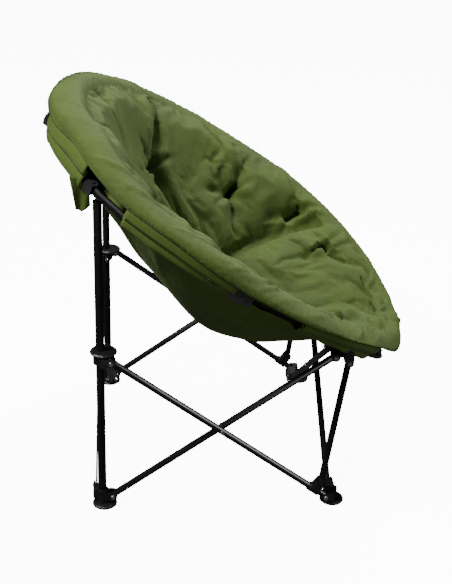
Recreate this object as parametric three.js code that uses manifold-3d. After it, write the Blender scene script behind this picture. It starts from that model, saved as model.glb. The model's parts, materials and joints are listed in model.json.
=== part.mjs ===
// Folding saucer chair: a padded round seat hung in a four-piece steel hoop, carried by two rear
// uprights and four pairs of scissor tubes. Sizes are in millimetres, +X is the way the sitter
// faces, +Y is the sitter's left and +Z is up. Places are worked out from the floor midway between
// the two rear feet, and at the end the whole chair moves so that the origin is on the floor under
// its middle.
import * as THREE from 'three';
import { mergeVertices } from 'three/addons/utils/BufferGeometryUtils.js';
import Module from 'manifold-3d';

const wasm = await Module();
wasm.setup();

// Leg frame
const pivotSpan = 501;            // between the pivots of a scissor pair, along and across the chair
const scissorRise = 366;          // from the lower pivots up to the upper pivots
const pivotHeight = 25;           // lower pivots above the floor
const crossInset = 40;            // from an upright's centre in to the pivots of the cross tubes
const sidePivotForward = 19.5;    // rear pivots of the side tubes, ahead of the foot's centre
const planeGap = 20;              // between the middles of two tubes that cross
const uprightBack = 5;            // upright's centre behind the foot's centre
const uprightHeight = 759;        // top of the upright above the floor
const uprightDiameter = 19;
const uprightWall = 1.5;
const tubeDiameter = 16;
const tubeWall = 1.2;
const tubeEndReach = 8;           // a tube runs on past its end pivot
const runningGap = 0.4;           // between a tube and what it turns or slides in
const sideNames = { left: 1, right: -1 };

// Feet, sliders and hubs, in moulded plastic
const footDiameter = 58;
const footThickness = 8;
const frontFootForward = 540;     // front foot's centre ahead of the rear foot's
const frontCrossBack = 5.5;       // front plane of the front cross tubes, behind that foot's centre
const footEdgeRound = 3;
const socketHeight = 34;          // from the disc's top up round the upright
const socketWall = 4;
const footGround = 4;             // upright's lower end above the floor
const cheekThickness = 4;
const cheekRadius = 10;           // round end of a cheek, about its pivot
const postRadius = 12;            // post of a front foot
const postHeight = 26;
const sliderBodyHeight = 32;
const sliderWall = 6;
const sliderFlangeDiameter = 61;
const sliderFlangeThickness = 7;
const sliderFlangeForward = 2.5;  // flange's centre ahead of the foot's centre
const sliderTopRise = 19;         // flange's top above the upper pivots
const hubPlateThickness = 5.5;
const hubPlateRise = 13;          // hub plate's underside above the upper pivots
const hubPlateForward = 35;       // hub plate's front edge ahead of the side tube's pivot
const hubPlateBack = 14;          // and its rear edge behind it
const hubPlateOut = 33;           // hub plate's outer edge outside the foot's centre
const hubPlateIn = 54;            // and its inner edge inside it
const hubCornerRound = 12;
const hubTabReach = 26;           // tab's length back from its pin
const reliefGap = 0.8;            // round a bracket's ears where they pass the hub
const hubTabThickness = 4;        // tab on the hub that the front bracket turns on

// Front struts and the sleeves that they stand on
const strutTopForward = 27;       // strut's top pivot ahead of the side tube's pivot
const strutTopDrop = 4;           // and below it
const strutFootUp = 34.6;         // strut's foot up along the outer tube, from that tube's pivot
const strutFootOff = 26;          // and ahead of that tube's middle, square to it
const sleeveStart = 21;           // sleeve's lower end, up along the tube from its pivot
const sleeveLength = 30;
const sleeveWall = 2.6;

// Rivets
const pinDiameter = 5;
const pinHeadDiameter = 11;
const pinHeadThickness = 2.2;
const pinHeadEdge = 0.8;          // bevel round a rivet's head
const pinGap = 0.35;              // round the shank, and under the heads
const collarDiameter = 12;        // spacer on a rivet between two crossing tubes

// Plates on top of the uprights, with the eyelet that each rear bracket turns on
const plateThickness = 3.2;
const plateHeadRadius = 4.6;      // round the eyelet
const plateArmReach = 17;         // from the eyelet out to the second hole
const plateArmTop = 16;           // arm's upper edge above the upright's top
const plateTongue = 26;           // its tongue down inside the upright
const tongueShare = 0.95;         // tongue's half width, of the upright's inner radius
const eyeletRise = 13;            // eyelet's centre above the upright's top
const plateYaw = 43;              // degrees that the plate is turned out from facing sideways

// Brackets that hold the hoop: ears on a pin below, and a channel with a swing pin through the hoop
const earThickness = 2.5;
const earRadius = 7;
const flangeThickness = 2.5;
const strapHalf = 8;              // half width of the strap from the channel to the ears
const flangeRadius = 13;
const channelGap = 0.6;           // between the hoop tube and the channel's flanges
const clearingRadius = 26;        // the ears are cut away inside this where the hoop tube swings
const rearWebOffset = 10;         // inner face of the channel's web, from the swing pin
const frontWebOffset = 18;
const rearWebHalf = 11;
const frontWebHalf = 4;
const rearPinLean = 20.3;         // degrees that the rear swing pin leans over from upright
const rearPinHeading = 34.7;      // degrees outward of straight ahead that it leans towards
const frontPinLean = 33.6;
const frontPinHeading = -54.2;
const rearSwingAngle = 24;        // degrees that the hoop swings on that pin as the chair folds
const frontSwingAngle = -88.7;
const frontHingeYaw = 38.2;
const frontHinge = new THREE.Vector3(546.1, 329.3, 412.5);

// Hoop: places of its joints and saddles, on the left-hand side
const hoopDiameter = 16;
const hoopWall = 1.2;
const backJoint = new THREE.Vector3(-110, 0, 840);
const frontJoint = new THREE.Vector3(673, 0, 257);
const sideJoint = new THREE.Vector3(285, 419, 606);
const rearSaddle = new THREE.Vector3(-17, 295, 790);
const frontSaddle = new THREE.Vector3(545, 318, 430);
const hoopLap = 20;               // between the middles of two hoop tubes that lap at a joint
const hoopEndOverrun = 9;         // a hoop tube runs on past its joint's middle
const frontLapExtra = 5;          // added to it at the front joint
const housingLength = 52;
const housingWall = 3;
const housingReach = 4;           // housing's open side, short of the tube's middle

// Padded seat. Rises are above the hoop, square to its plane, and reaches are out from it.
const crestRise = { back: 94, side: 93, front: 98 };
const rimReach = { back: 51, side: 46, front: 31 };
const rimInner = 50;              // inner edge of the rim's crest
const slumpDepth = 48;            // how far the rim has sunk on the sitter's right
const slumpStart = -380;          // along the hoop, where it starts to sink
const slumpFull = 0;              // and where it has sunk fully
const slumpEase = 200;            // from the middle plane to where it has sunk fully
const channelHalf = 21.5;         // half width of the channel that the hoop lies in
const channelRise = 17;
const channelRiseFront = 15;      // added to it at the front
const skirtDrop = 12;             // skirt's hem below the hoop
const skirtThickness = 4;
const cutAwayReach = 90;          // from a joint or a bracket to where the skirt is whole
const cutAwayFade = 35;
const rearDrawReach = 90;         // from a rear bracket to where the underside is drawn up no more
const frontDrawStart = 0.16;      // front weight where the underside starts to be drawn up
const frontDrawFull = 0.3;        // and where it is drawn up fully
const bowlDepth = 203;            // lowest point of the underside below the hoop's plane
const bowlShift = 105;            // lowest point ahead of the hoop's middle
const bowlThickness = 45;         // padding at the bottom of the bowl
const bowlRoundShare = 0.12;      // how blunt the bowl's bottom is
const bowlShares = [0.86, 0.72, 0.56, 0.38, 0.2];
const slingShares = [0.2, 0.38, 0.56, 0.72, 0.86, 0.93];
const rearDraws = [0, 0, 0, 8, 18, 26];     // how far the underside is drawn up at those shares
const frontDraws = [0, 0, 20, 44, 54, 36];
const lipOutShare = 0.35;
const lipUpShare = 0.12;
const bulgeUpShare = 0.45;
const shoulderOutShare = 0.94;
const shoulderUpShare = 0.8;
const crownOutShare = 0.45;
const crownInShare = 0.4;
const innerCrownShare = 0.97;
const innerEdgeShare = 0.78;
const tuftDepth = 22;
const tuftSpread = 48;
const tuftPlaces = [[-210, 191], [26, 300], [192, 290], [297, 202]];
const padSteps = 12;              // stations along each quarter of the hoop

// How finely round things are cut
const tubeSides = 12;
const roundSides = 16;
const pinSides = 8;
const curveSteps = 3;
const hoopSides = 8;
const hoopSteps = 10;
const weldDistance = 1e-4;
const cutOverrun = 2;             // a cutting tool runs on past what it cuts

// Places that follow from the sizes above
const upperPivotHeight = pivotHeight + scissorRise;
const crossReach = pivotSpan / 2;
const trackHalf = crossReach + crossInset;
const outerPlane = trackHalf + planeGap;
const rearPivotX = sidePivotForward;
const frontPivotX = sidePivotForward + pivotSpan;
const rearCrossX = [-uprightBack + planeGap / 2, -uprightBack - planeGap / 2];
const frontCrossX = [
  frontFootForward - frontCrossBack,
  frontFootForward - frontCrossBack - planeGap,
];
const tubeRadius = tubeDiameter / 2;
const uprightRadius = uprightDiameter / 2;
const forkHalf = tubeRadius + runningGap;
const lugHalf = forkHalf + cheekThickness;
const swingRadius = Math.hypot(tubeEndReach, tubeRadius) + runningGap;
const holeRadius = pinDiameter / 2 + pinGap;
const pinRadius = pinDiameter / 2;
const headRadius = pinHeadDiameter / 2;
const hoopRadius = hoopDiameter / 2;
const seatRadius = pinHeadDiameter / 2 + pinGap;
const seatDepth = pinHeadThickness + 2 * pinGap;

const UP = new THREE.Vector3(0, 0, 1);
const FORWARD = new THREE.Vector3(1, 0, 0);
const ACROSS = new THREE.Vector3(0, 1, 0);
const chair = new THREE.Group();
const frame = new THREE.Group();
chair.add(frame);

// Colours and finishes
function finish(color, roughness, metalness) {
  return new THREE.MeshStandardMaterial({ color, roughness, metalness });
}
const satinBlack = finish(0x141415, 0.38, 0.35);
const glossBlack = finish(0x0d0d0e, 0.2, 0.4);
const blackPlastic = finish(0x17181a, 0.5, 0);
const charcoal = finish(0x3a3b3e, 0.45, 0.2);
const silver = finish(0xc4c6c8, 0.3, 0.9);
const mossFabric = finish(0x5d6b4c, 0.9, 0);

// Joining and cutting closed solids
function solidOf(geometry) {
  const bare = geometry.clone();
  bare.deleteAttribute('normal');
  bare.deleteAttribute('uv');
  const merged = mergeVertices(bare, weldDistance);
  const vertProperties = new Float32Array(merged.attributes.position.array);
  const triVerts = new Uint32Array(merged.index.array);
  const mesh = new wasm.Mesh({ numProp: 3, vertProperties, triVerts });
  mesh.merge();
  return new wasm.Manifold(mesh);
}

function geometryOf(solid) {
  const mesh = solid.getMesh();
  const geometry = new THREE.BufferGeometry();
  geometry.setAttribute('position', new THREE.BufferAttribute(mesh.vertProperties, 3));
  geometry.setIndex(new THREE.BufferAttribute(mesh.triVerts, 1));
  geometry.computeVertexNormals();
  return geometry;
}

function joined(geometries) {
  let solid = solidOf(geometries[0]);
  for (const other of geometries.slice(1)) {
    solid = solid.add(solidOf(other));
  }
  return geometryOf(solid);
}

function cut(geometry, tools) {
  let solid = solidOf(geometry);
  for (const tool of tools) {
    solid = solid.subtract(solidOf(tool));
  }
  return geometryOf(solid);
}

// A mesh in a frame of its own, placed by its position and its turn
function place(name, geometry, material, position, turn) {
  const mesh = new THREE.Mesh(geometry, material);
  mesh.name = name;
  mesh.position.copy(position);
  if (turn) {
    mesh.quaternion.copy(turn);
  }
  frame.add(mesh);
  return mesh;
}

// The turn that takes local Z along one direction and local X along another, square to it
function turnTo(along, side) {
  const z = along.clone().normalize();
  const x = side.clone().addScaledVector(z, -side.dot(z)).normalize();
  const y = new THREE.Vector3().crossVectors(z, x);
  const basis = new THREE.Matrix4().makeBasis(x, y, z);
  return new THREE.Quaternion().setFromRotationMatrix(basis);
}

function spin(axis, angle) {
  return new THREE.Quaternion().setFromAxisAngle(axis, angle);
}

function moved(geometry, x, y, z) {
  const copy = geometry.clone();
  copy.translate(x, y, z);
  return copy;
}

// Plain shapes. A rod stands on local Z, from bottom to top.
function rod(radius, bottom, top, sides) {
  const points = [
    new THREE.Vector2(0, bottom),
    new THREE.Vector2(radius, bottom),
    new THREE.Vector2(radius, top),
    new THREE.Vector2(0, top),
  ];
  return turned(points, sides);
}

function turned(points, sides) {
  const geometry = new THREE.LatheGeometry(points, sides);
  geometry.rotateX(Math.PI / 2);
  return geometry;
}

function pipe(radius, wall, bottom, top, sides) {
  const points = [
    new THREE.Vector2(radius - wall, bottom),
    new THREE.Vector2(radius, bottom),
    new THREE.Vector2(radius, top),
    new THREE.Vector2(radius - wall, top),
    new THREE.Vector2(radius - wall, bottom),
  ];
  return turned(points, sides);
}

// A rod along X or Y instead of Z
function rodAlongX(radius, from, to, sides) {
  const geometry = rod(radius, from, to, sides);
  geometry.rotateY(Math.PI / 2);
  return geometry;
}

function rodAlongY(radius, from, to, sides) {
  const geometry = rod(radius, from, to, sides);
  geometry.rotateX(-Math.PI / 2);
  return geometry;
}

function roundedOutline(x0, x1, y0, y1, round) {
  const shape = new THREE.Shape();
  shape.moveTo(x0 + round, y0);
  shape.lineTo(x1 - round, y0);
  shape.absarc(x1 - round, y0 + round, round, -Math.PI / 2, 0, false);
  shape.absarc(x1 - round, y1 - round, round, 0, Math.PI / 2, false);
  shape.absarc(x0 + round, y1 - round, round, Math.PI / 2, Math.PI, false);
  shape.absarc(x0 + round, y0 + round, round, Math.PI, 3 * Math.PI / 2, false);
  return shape;
}

function slab(outline, thickness) {
  const options = { depth: thickness, bevelEnabled: false, curveSegments: curveSteps };
  return new THREE.ExtrudeGeometry(outline, options);
}

function block(x0, x1, y0, y1, z0, z1) {
  const geometry = new THREE.BoxGeometry(x1 - x0, y1 - y0, z1 - z0);
  geometry.translate((x0 + x1) / 2, (y0 + y1) / 2, (z0 + z1) / 2);
  return geometry;
}

// Straight tube between two pivots, drilled across for its rivets
function drilledTube(length, diameter, wall, reach, holes) {
  const radius = diameter / 2;
  const body = pipe(radius, wall, -reach, length + reach, tubeSides);
  const tools = holes.map((along) => {
    const tool = rodAlongX(holeRadius, -radius - cutOverrun, radius + cutOverrun, pinSides);
    return moved(tool, 0, 0, along);
  });
  return cut(body, tools);
}

function legTube(name, lower, upper, pinAxis, holeShares = [0, 0.5, 1]) {
  const along = new THREE.Vector3().subVectors(upper, lower);
  const length = along.length();
  const holes = holeShares.map((share) => share * length);
  const geometry = drilledTube(length, tubeDiameter, tubeWall, tubeEndReach, holes);
  place(name, geometry, glossBlack, lower, turnTo(along, pinAxis));
}

// Rivet along local Z: its grip runs from 0 to the given length, and a collar can fill a gap in it
function rivetShape(grip, collarFrom, collarTo) {
  const shank = pinDiameter / 2;
  const head = pinHeadDiameter / 2;
  const points = [
    new THREE.Vector2(0, -pinGap - pinHeadThickness),
    new THREE.Vector2(head - pinHeadEdge, -pinGap - pinHeadThickness),
    new THREE.Vector2(head, -pinGap),
    new THREE.Vector2(shank, -pinGap),
  ];
  if (collarTo > collarFrom) {
    points.push(new THREE.Vector2(shank, collarFrom + pinGap));
    points.push(new THREE.Vector2(collarDiameter / 2, collarFrom + pinGap));
    points.push(new THREE.Vector2(collarDiameter / 2, collarTo - pinGap));
    points.push(new THREE.Vector2(shank, collarTo - pinGap));
  }
  points.push(new THREE.Vector2(shank, grip + pinGap));
  points.push(new THREE.Vector2(head, grip + pinGap));
  points.push(new THREE.Vector2(head - pinHeadEdge, grip + pinGap + pinHeadThickness));
  points.push(new THREE.Vector2(0, grip + pinGap + pinHeadThickness));
  return turned(points, pinSides);
}

// Rivet through a fork, centred on its pivot
function forkRivet(name, pivot, axis) {
  const start = pivot.clone().addScaledVector(axis, -lugHalf);
  const side = Math.abs(axis.z) > 0 ? FORWARD : UP;
  place(name, rivetShape(2 * lugHalf, 0, 0), silver, start, turnTo(axis, side));
}

// Rivet through two crossing tubes, centred between them
function crossRivet(name, middle, axis) {
  const start = middle.clone().addScaledVector(axis, -planeGap / 2 - tubeRadius);
  const shape = rivetShape(planeGap + tubeDiameter, tubeDiameter, planeGap);
  place(name, shape, silver, start, turnTo(axis, UP));
}

// Lug with a round end about a pivot, in a frame with the pivot at the origin. It reaches back to
// the piece that carries it, and is slotted for a tube's end.
function lugOutline(reach, radius) {
  const shape = new THREE.Shape();
  shape.moveTo(-reach, -radius);
  shape.lineTo(0, -radius);
  shape.absarc(0, 0, radius, -Math.PI / 2, Math.PI / 2, false);
  shape.lineTo(-reach, radius);
  shape.closePath();
  return shape;
}

function lugSolid(reach, radius, half) {
  const options = { depth: 2 * half, bevelEnabled: false, curveSegments: curveSteps };
  const geometry = new THREE.ExtrudeGeometry(lugOutline(reach, radius), options);
  geometry.translate(0, 0, -half);
  geometry.rotateX(Math.PI / 2);
  return geometry;
}

// The lug's own +X is its free end and its own Y its pin; the tools cut the slot and the hole
function lugParts(reach, turn, pivot) {
  const parts = {
    body: lugSolid(reach, cheekRadius, lugHalf),
    slot: rodAlongY(swingRadius, -forkHalf, forkHalf, tubeSides),
    hole: rodAlongY(holeRadius, -lugHalf - cutOverrun, lugHalf + cutOverrun, pinSides),
    nearSeat: rodAlongY(seatRadius, -lugHalf - seatDepth, -lugHalf, pinSides),
    farSeat: rodAlongY(seatRadius, lugHalf, lugHalf + seatDepth, pinSides),
  };
  for (const geometry of Object.values(parts)) {
    geometry.applyQuaternion(turn);
    geometry.translate(pivot.x, pivot.y, pivot.z);
  }
  return parts;
}

// What a lug takes out of the piece that carries it: slot, hole, and seats for the rivet's heads
function lugCuts(lug) {
  return [lug.slot, lug.hole, lug.nearSeat, lug.farSeat];
}

function discShape(radius, thickness, round) {
  const points = [
    new THREE.Vector2(0, 0),
    new THREE.Vector2(radius - round / 2, 0),
    new THREE.Vector2(radius, round / 2),
    new THREE.Vector2(radius, thickness - round),
    new THREE.Vector2(radius - round, thickness),
    new THREE.Vector2(0, thickness),
  ];
  return turned(points, roundSides);
}

// Rear foot: a round base with a socket for the upright, a fork for the inner side tube ahead of
// it and a fork for a cross tube inside it. Its frame is on the floor under the foot's centre.
function rearFoot(side) {
  const crossX = side === sideNames.right ? rearCrossX[1] : rearCrossX[0];
  const sidePivot = new THREE.Vector3(sidePivotForward, 0, pivotHeight);
  const crossPivot = new THREE.Vector3(crossX, -side * crossInset, pivotHeight);
  const socketRadius = uprightRadius + runningGap + socketWall;
  const sideLug = lugParts(sidePivotForward + uprightBack, spin(UP, 0), sidePivot);
  const crossLug = lugParts(crossInset, spin(UP, -side * Math.PI / 2), crossPivot);
  const socketTop = footThickness + socketHeight;
  const socket = moved(rod(socketRadius, footGround, socketTop, roundSides), -uprightBack, 0, 0);
  const boreRadius = uprightRadius + runningGap;
  const bore = moved(
    rod(boreRadius, footGround - runningGap, socketTop + cutOverrun, roundSides), -uprightBack, 0, 0);
  const disc = discShape(footDiameter / 2, footThickness, footEdgeRound);
  const body = joined([disc, socket, sideLug.body, crossLug.body]);
  return cut(body, [bore, ...lugCuts(sideLug), ...lugCuts(crossLug)]);
}

// Front foot: the outer side tube's fork and a cross tube's fork stand on a round base
function frontFoot(side) {
  const crossX = side === sideNames.right ? frontCrossX[0] : frontCrossX[1];
  const sidePivot = new THREE.Vector3(
    frontPivotX - frontFootForward, side * planeGap, pivotHeight);
  const crossPivot = new THREE.Vector3(
    crossX - frontFootForward, -side * crossInset, pivotHeight);
  const sideLug = lugParts(frontFootForward - frontPivotX, spin(UP, Math.PI), sidePivot);
  const crossLug = lugParts(crossInset, spin(UP, -side * Math.PI / 2), crossPivot);
  const post = moved(
    rod(postRadius, footThickness / 2, footThickness + postHeight, roundSides),
    crossX - frontFootForward + frontCrossBack, side * (planeGap - forkHalf - postRadius), 0);
  const disc = discShape(footDiameter / 2, footThickness, footEdgeRound);
  const body = joined([disc, post, sideLug.body, crossLug.body]);
  return cut(body, [...lugCuts(sideLug), ...lugCuts(crossLug)]);
}

// Slider on the upright: a flanged collar with forks for the outer side tube and a cross tube.
// Its frame is on the floor under the foot's centre.
function slider(side) {
  const crossX = side === sideNames.right ? rearCrossX[0] : rearCrossX[1];
  const top = upperPivotHeight + sliderTopRise;
  const sidePivot = new THREE.Vector3(sidePivotForward, side * planeGap, upperPivotHeight);
  const crossPivot = new THREE.Vector3(crossX, -side * crossInset, upperPivotHeight);
  const sideLug = lugParts(sidePivotForward + uprightBack, spin(UP, 0), sidePivot);
  const crossLug = lugParts(crossInset, spin(UP, -side * Math.PI / 2), crossPivot);
  const collarRadius = uprightRadius + runningGap + sliderWall;
  const collar = moved(
    rod(collarRadius, top - sliderBodyHeight, top, roundSides), -uprightBack, 0, 0);
  const flange = discShape(sliderFlangeDiameter / 2, sliderFlangeThickness, footEdgeRound);
  flange.translate(sliderFlangeForward, 0, top - sliderFlangeThickness);
  const bore = moved(
    rod(uprightRadius + runningGap, top - sliderBodyHeight - cutOverrun, top + cutOverrun, roundSides),
    -uprightBack, 0, 0);
  const body = joined([collar, flange, sideLug.body, crossLug.body]);
  return cut(body, [bore, ...lugCuts(sideLug), ...lugCuts(crossLug)]);
}

// Hub at the front: a plate with forks hanging under it for the inner side tube, the strut and a
// cross tube. Its frame is on the floor under the front foot's centre.
function frontHub(side) {
  const crossX = side === sideNames.right ? frontCrossX[1] : frontCrossX[0];
  const sideX = frontPivotX - frontFootForward;
  const down = spin(ACROSS, Math.PI / 2);
  const downAcross = spin(UP, Math.PI / 2).multiply(down);
  const reach = hubPlateRise + hubPlateThickness / 2;
  const sidePivot = new THREE.Vector3(sideX, 0, upperPivotHeight);
  const strutPivot = new THREE.Vector3(
    sideX + strutTopForward, side * planeGap, upperPivotHeight - strutTopDrop);
  const crossPivot = new THREE.Vector3(
    crossX - frontFootForward, -side * crossInset, upperPivotHeight);
  const sideLug = lugParts(reach, down, sidePivot);
  const strutLug = lugParts(reach + strutTopDrop, down, strutPivot);
  const crossLug = lugParts(reach, downAcross, crossPivot);
  const outline = roundedOutline(
    sideX - hubPlateBack, sideX + hubPlateForward,
    side > 0 ? -hubPlateIn : -hubPlateOut, side > 0 ? hubPlateOut : hubPlateIn, hubCornerRound);
  const plate = slab(outline, hubPlateThickness);
  plate.translate(0, 0, upperPivotHeight + hubPlateRise);
  const body = joined([plate, sideLug.body, strutLug.body, crossLug.body]);
  const tab = hubTab(side);
  const cleared = cut(body, [
    ...lugCuts(sideLug), ...lugCuts(strutLug), ...lugCuts(crossLug), ...tab.reliefs]);
  return cut(joined([cleared, tab.body]), [tab.hole]);
}

// Tab at the hub's outer front corner for the hoop bracket's pin, and the reliefs round its ears
function hubTab(side) {
  const axis = hingeAxisFor(side, frontHingeYaw);
  const pin = new THREE.Vector3(
    frontHinge.x - frontFootForward, side * (frontHinge.y - trackHalf), frontHinge.z);
  const saddle = onSide(frontSaddle, side);
  const swing = swingAxisFor(side, frontPinLean, frontPinHeading);
  const toSaddle = new THREE.Vector3().subVectors(saddle, onSide(frontHinge, side));
  const up = earReach(toSaddle, axis, swing);
  const tabHalf = hubTabThickness / 2;
  const reliefs = earSolids(
    up.length() + cutOverrun, earRadius + reliefGap, earThickness / 2 + reliefGap / 2, tabHalf);
  for (const relief of reliefs) {
    relief.applyMatrix4(earBasis(up, axis));
  }
  const reach = tabHalf + earThickness + pinHeadThickness + 2 * runningGap;
  const sweeps = [-1, 1].map((hand) => {
    const low = hand > 0 ? tabHalf : -reach;
    return rodAlongY(earRadius + reliefGap, low, low + reach - tabHalf, tubeSides);
  });
  const body = lugSolid(hubTabReach, earRadius, tabHalf);
  const hole = rodAlongY(holeRadius, -tabHalf - cutOverrun, tabHalf + cutOverrun, pinSides);
  const ahead = new THREE.Vector3().crossVectors(axis, UP);
  const level = new THREE.Matrix4().makeBasis(
    ahead, axis, new THREE.Vector3().crossVectors(ahead, axis));
  for (const part of [...sweeps, body, hole]) {
    part.applyMatrix4(level);
  }
  for (const part of [...reliefs, ...sweeps, body, hole]) {
    part.translate(pin.x, pin.y, pin.z);
  }
  return { body, hole, reliefs: [...reliefs, ...sweeps] };
}

// Sleeve that slides on the outer side tube and carries the strut's foot. Its frame is at the
// tube's lower pivot, with Z up the tube and X across the chair.
function strutSleeve() {
  const turn = spin(UP, -Math.PI / 2);
  const pivot = new THREE.Vector3(0, -strutFootOff, strutFootUp);
  const lug = lugParts(strutFootOff, turn, pivot);
  const ring = rod(
    tubeRadius + runningGap + sleeveWall, sleeveStart, sleeveStart + sleeveLength, tubeSides);
  const bore = rod(
    tubeRadius + runningGap, sleeveStart - cutOverrun, sleeveStart + sleeveLength + cutOverrun,
    tubeSides);
  const shell = cut(joined([ring, lug.body]), [bore, lug.slot]);
  const headFoot = lugHalf - pinHeadEdge;
  const pin = rodAlongX(pinRadius, -lugHalf, lugHalf, pinSides);
  const nearHead = rodAlongX(headRadius, -lugHalf - pinHeadThickness, -headFoot, pinSides);
  const farHead = rodAlongX(headRadius, headFoot, lugHalf + pinHeadThickness, pinSides);
  const pins = [pin, nearHead, farHead].map((part) => moved(part, pivot.x, pivot.y, pivot.z));
  return joined([shell, ...pins]);
}

// Plate on an upright: a tongue inside the tube, an upstanding end with the eyelet, and an arm to
// one side with a second hole. Its frame is at the middle of the upright's top, and it faces along
// its own Y.
function uprightPlate() {
  const tongueHalf = uprightRadius - uprightWall - runningGap;
  const tongue = block(
    -tongueHalf * tongueShare, tongueHalf * tongueShare, -plateThickness / 2, plateThickness / 2,
    -plateTongue, 0);
  const neck = block(
    -plateHeadRadius, plateHeadRadius, -plateThickness / 2, plateThickness / 2,
    -plateTongue / 2, eyeletRise);
  const head = rodAlongY(
    plateHeadRadius, -plateThickness / 2, plateThickness / 2, roundSides);
  const outline = roundedOutline(
    -plateHeadRadius / 2, plateArmReach + plateArmTop / 2, runningGap, plateArmTop,
    plateArmTop / 2 - runningGap);
  const arm = slab(outline, plateThickness);
  arm.rotateX(Math.PI / 2);
  arm.translate(0, plateThickness / 2, 0);
  const hole = rodAlongY(
    holeRadius, -plateThickness - cutOverrun, plateThickness + cutOverrun, pinSides);
  return cut(joined([tongue, neck, moved(head, 0, 0, eyeletRise), arm]), [
    moved(hole, 0, 0, eyeletRise), moved(hole, plateArmReach, 0, plateArmTop / 2)]);
}

// Bracket: two ears on a pin, and a channel whose flanges lie on both sides of the hoop tube with
// a swing pin through it. Everything is given from the hinge pin's middle.
function hoopBracket(hinge, saddle, hingeAxis, swingAxis, web, tabHalf) {
  const toSaddle = new THREE.Vector3().subVectors(saddle, hinge);
  const inner = hoopRadius + channelGap;
  const outer = inner + flangeThickness;
  const swing = turnTo(swingAxis, web.side);
  const turnedParts = [
    rod(flangeRadius, -outer, -inner, roundSides),
    rod(flangeRadius, inner, outer, roundSides),
    block(0, web.offset + flangeThickness, -web.half, web.half, -outer, -inner),
    block(0, web.offset + flangeThickness, -web.half, web.half, inner, outer),
    block(web.offset, web.offset + flangeThickness, -web.half, web.half, -outer, outer),
    rod(pinRadius, -inner - flangeThickness / 2, outer + pinHeadThickness / 2, pinSides),
    rod(headRadius, outer - pinHeadEdge, outer + pinHeadThickness, pinSides),
  ];
  for (const part of turnedParts) {
    part.applyQuaternion(swing);
    part.translate(toSaddle.x, toSaddle.y, toSaddle.z);
  }
  const up = earReach(toSaddle, hingeAxis, swingAxis);
  const ears = earSolids(up.length(), earRadius, earThickness / 2, tabHalf);
  const reach = tabHalf + runningGap + earThickness + pinHeadThickness;
  const shank = reach - pinHeadThickness / 2;
  const pinParts = [
    rodAlongY(pinRadius, -shank, shank, pinSides),
    rodAlongY(headRadius, -reach, -reach + pinHeadThickness + pinHeadEdge, pinSides),
    rodAlongY(headRadius, reach - pinHeadThickness - pinHeadEdge, reach, pinSides),
  ];
  const basis = earBasis(up, hingeAxis);
  for (const part of [...ears, ...pinParts]) {
    part.applyMatrix4(basis);
  }
  const strap = strapSolid(toSaddle, up, swingAxis);
  const clearing = rod(
    clearingRadius, -hoopRadius - runningGap, hoopRadius + runningGap, roundSides);
  clearing.applyQuaternion(swing);
  clearing.translate(toSaddle.x, toSaddle.y, toSaddle.z);
  const carrier = cut(joined([strap, ...ears, ...pinParts]), [clearing]);
  return joined([...turnedParts, carrier]);
}

function flangeMiddle(toSaddle, swingAxis) {
  const depth = hoopRadius + channelGap + flangeThickness / 2;
  return toSaddle.clone().addScaledVector(swingAxis, -depth);
}

// From the hinge pin to the ears' top, which lies in the lower flange's plane
function earReach(toSaddle, hingeAxis, swingAxis) {
  const middle = flangeMiddle(toSaddle, swingAxis);
  const slide = hingeAxis.clone().addScaledVector(swingAxis, -hingeAxis.dot(swingAxis));
  return middle.addScaledVector(slide, -middle.dot(hingeAxis) / slide.dot(hingeAxis));
}

// Strap in the lower flange's plane, from the flange's middle to the ears' top
function strapSolid(toSaddle, up, swingAxis) {
  const run = new THREE.Vector3().subVectors(up, flangeMiddle(toSaddle, swingAxis));
  const strap = slab(lugOutline(run.length(), strapHalf), flangeThickness);
  strap.translate(0, 0, -flangeThickness / 2);
  strap.applyQuaternion(turnTo(swingAxis, run));
  strap.translate(up.x, up.y, up.z);
  return strap;
}

function earSolids(reach, radius, half, tabHalf) {
  return [-1, 1].map((hand) => {
    const ear = lugSolid(reach, radius, half);
    ear.translate(0, hand * (tabHalf + runningGap + earThickness / 2), 0);
    return ear;
  });
}

function earBasis(up, hingeAxis) {
  const x = up.clone().normalize().negate();
  return new THREE.Matrix4().makeBasis(
    x, hingeAxis, new THREE.Vector3().crossVectors(x, hingeAxis));
}

// Circle through three points, run on past both ends
class ArcPath extends THREE.Curve {
  constructor(start, middle, end, overrun) {
    super();
    const ab = new THREE.Vector3().subVectors(middle, start);
    const ac = new THREE.Vector3().subVectors(end, start);
    const normal = new THREE.Vector3().crossVectors(ab, ac);
    const toCentre = new THREE.Vector3().crossVectors(normal, ab).multiplyScalar(ac.lengthSq());
    toCentre.addScaledVector(new THREE.Vector3().crossVectors(ac, normal), ab.lengthSq());
    toCentre.divideScalar(2 * normal.lengthSq());
    this.centre = start.clone().add(toCentre);
    this.radius = toCentre.length();
    this.first = toCentre.clone().negate().normalize();
    this.second = new THREE.Vector3().crossVectors(normal, this.first).normalize();
    this.from = -overrun / this.radius;
    this.to = this.angleOf(end) + overrun / this.radius;
  }

  angleOf(point) {
    const arm = new THREE.Vector3().subVectors(point, this.centre);
    const angle = Math.atan2(arm.dot(this.second), arm.dot(this.first));
    return angle < 0 ? angle + 2 * Math.PI : angle;
  }

  getPoint(share, target = new THREE.Vector3()) {
    const angle = this.from + (this.to - this.from) * share;
    return target.copy(this.centre)
      .addScaledVector(this.first, this.radius * Math.cos(angle))
      .addScaledVector(this.second, this.radius * Math.sin(angle));
  }

  tangentAt(point) {
    const angle = this.angleOf(point);
    return this.second.clone().multiplyScalar(Math.cos(angle))
      .addScaledVector(this.first, -Math.sin(angle));
  }
}

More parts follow.
